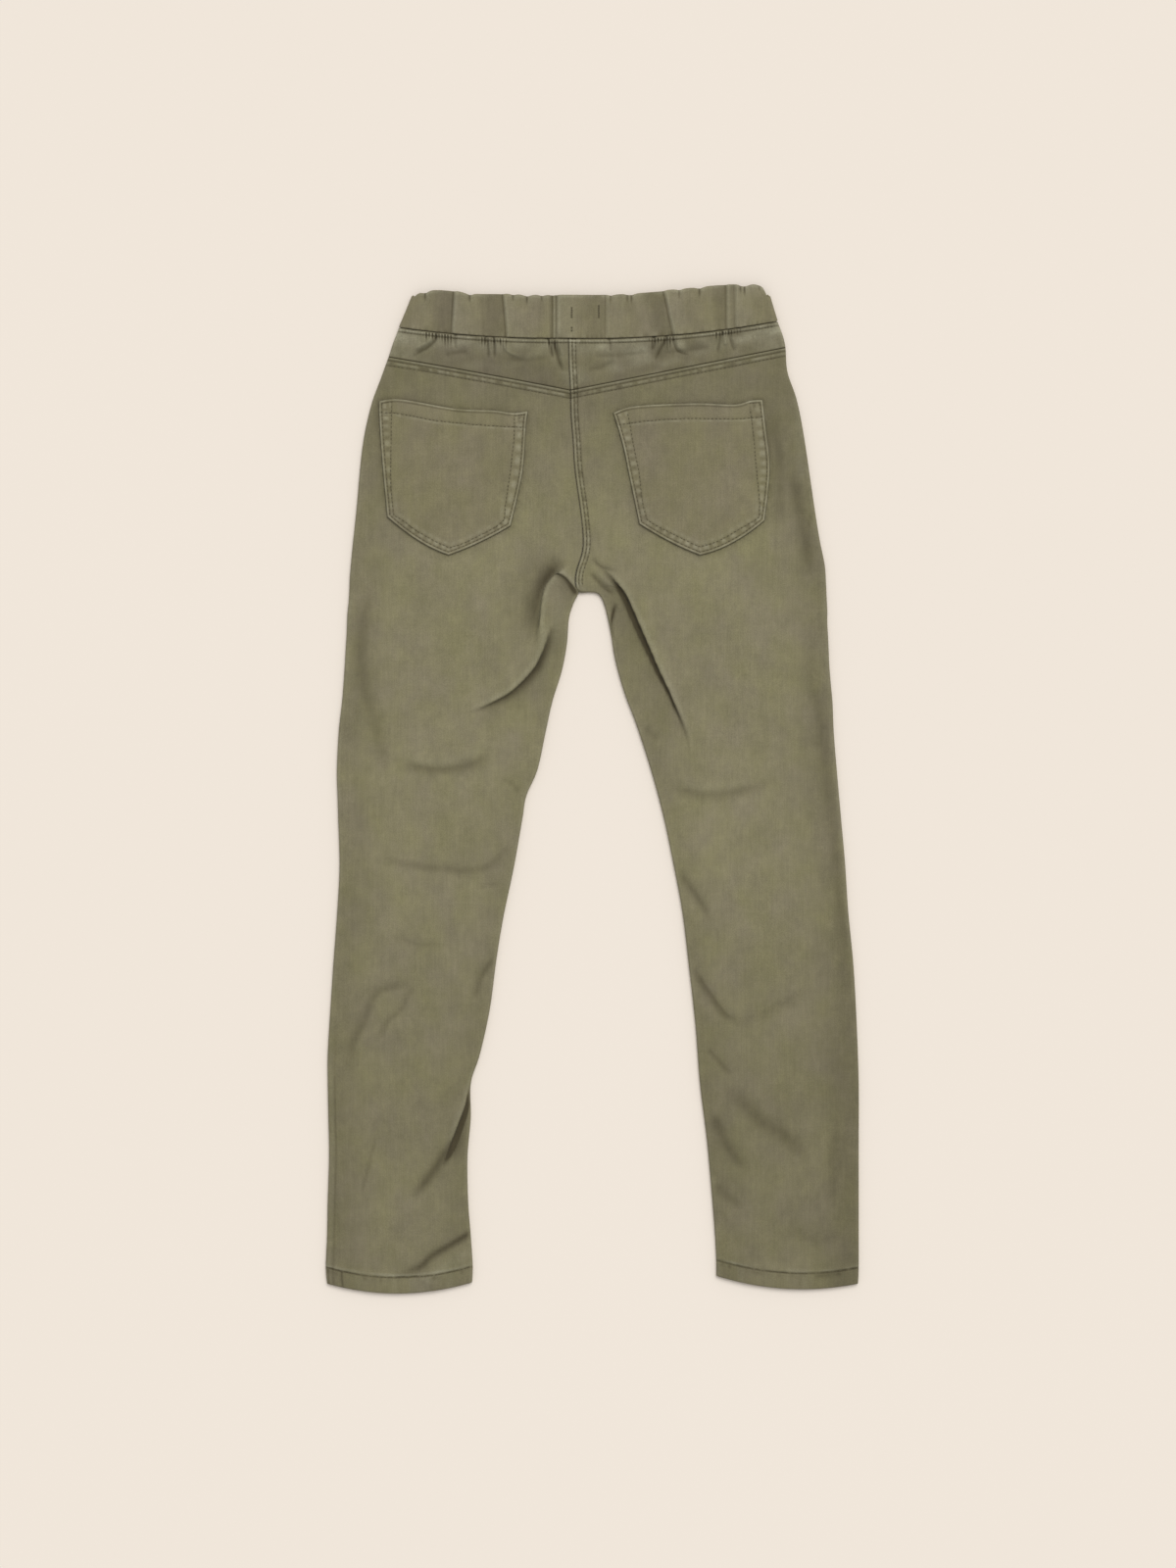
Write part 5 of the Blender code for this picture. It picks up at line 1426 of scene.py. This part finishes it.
class OBJECT_OT_jeggings_waistband(bpy.types.Operator):
    """Make the gathered waistband"""
    bl_idname = "object.jeggings_waistband"
    bl_label = "Waistband"

    def execute(self, context):
        make_waistband(context.scene.jeggings_cloth)
        return {"FINISHED"}


class OBJECT_OT_jeggings_yokes(bpy.types.Operator):
    """Make the two back yokes"""
    bl_idname = "object.jeggings_yokes"
    bl_label = "Back yokes"

    def execute(self, context):
        make_yokes(context.scene.jeggings_cloth)
        return {"FINISHED"}


class OBJECT_OT_jeggings_backs(bpy.types.Operator):
    """Make the two back leg panels with their folds and hems"""
    bl_idname = "object.jeggings_backs"
    bl_label = "Back legs"

    def execute(self, context):
        make_backs(context.scene.jeggings_cloth)
        return {"FINISHED"}


class OBJECT_OT_jeggings_fronts(bpy.types.Operator):
    """Make the two front leg panels, flat on the surface"""
    bl_idname = "object.jeggings_fronts"
    bl_label = "Front legs"

    def execute(self, context):
        make_fronts(context.scene.jeggings_cloth)
        return {"FINISHED"}


class OBJECT_OT_jeggings_pockets(bpy.types.Operator):
    """Make the two patch pockets on the back legs"""
    bl_idname = "object.jeggings_pockets"
    bl_label = "Patch pockets"

    def execute(self, context):
        make_pockets(context.scene.jeggings_cloth)
        return {"FINISHED"}


class OBJECT_OT_jeggings_stitches(bpy.types.Operator):
    """Sew the rows of stitches on the finished cloth"""
    bl_idname = "object.jeggings_stitches"
    bl_label = "Stitches"

    def execute(self, context):
        make_stitches(context.scene.jeggings_thread)
        return {"FINISHED"}


GROUPS = {"jeggings_cloth": JeggingsCloth, "jeggings_thread": JeggingsThread, "jeggings_stage": JeggingsStage}
OPERATORS = [OBJECT_OT_jeggings_stage, OBJECT_OT_jeggings_waistband, OBJECT_OT_jeggings_yokes,
             OBJECT_OT_jeggings_backs, OBJECT_OT_jeggings_fronts, OBJECT_OT_jeggings_pockets,
             OBJECT_OT_jeggings_stitches]


class VIEW3D_PT_jeggings(bpy.types.Panel):
    bl_label = "Jeggings"
    bl_space_type = "VIEW_3D"
    bl_region_type = "UI"
    bl_category = "Jeggings"

    def draw(self, context):
        for name, group in GROUPS.items():
            box = self.layout.box()
            for setting in group.__annotations__:
                box.prop(getattr(context.scene, name), setting)
        for operator in OPERATORS:
            self.layout.operator(operator.bl_idname)


def register():
    for group in GROUPS.values():
        bpy.utils.register_class(group)
    for name, group in GROUPS.items():
        setattr(bpy.types.Scene, name, PointerProperty(type=group))
    for kind in [*OPERATORS, VIEW3D_PT_jeggings]:
        bpy.utils.register_class(kind)


def unregister():
    for kind in [VIEW3D_PT_jeggings, *reversed(OPERATORS)]:
        bpy.utils.unregister_class(kind)
    for name, group in GROUPS.items():
        delattr(bpy.types.Scene, name)
        bpy.utils.unregister_class(group)


def main():
    register()
    bpy.ops.object.jeggings_stage()
    bpy.ops.object.jeggings_waistband()
    bpy.ops.object.jeggings_yokes()
    bpy.ops.object.jeggings_backs()
    bpy.ops.object.jeggings_fronts()
    bpy.ops.object.jeggings_pockets()
    bpy.ops.object.jeggings_stitches()


if __name__ == "__main__":
    main()
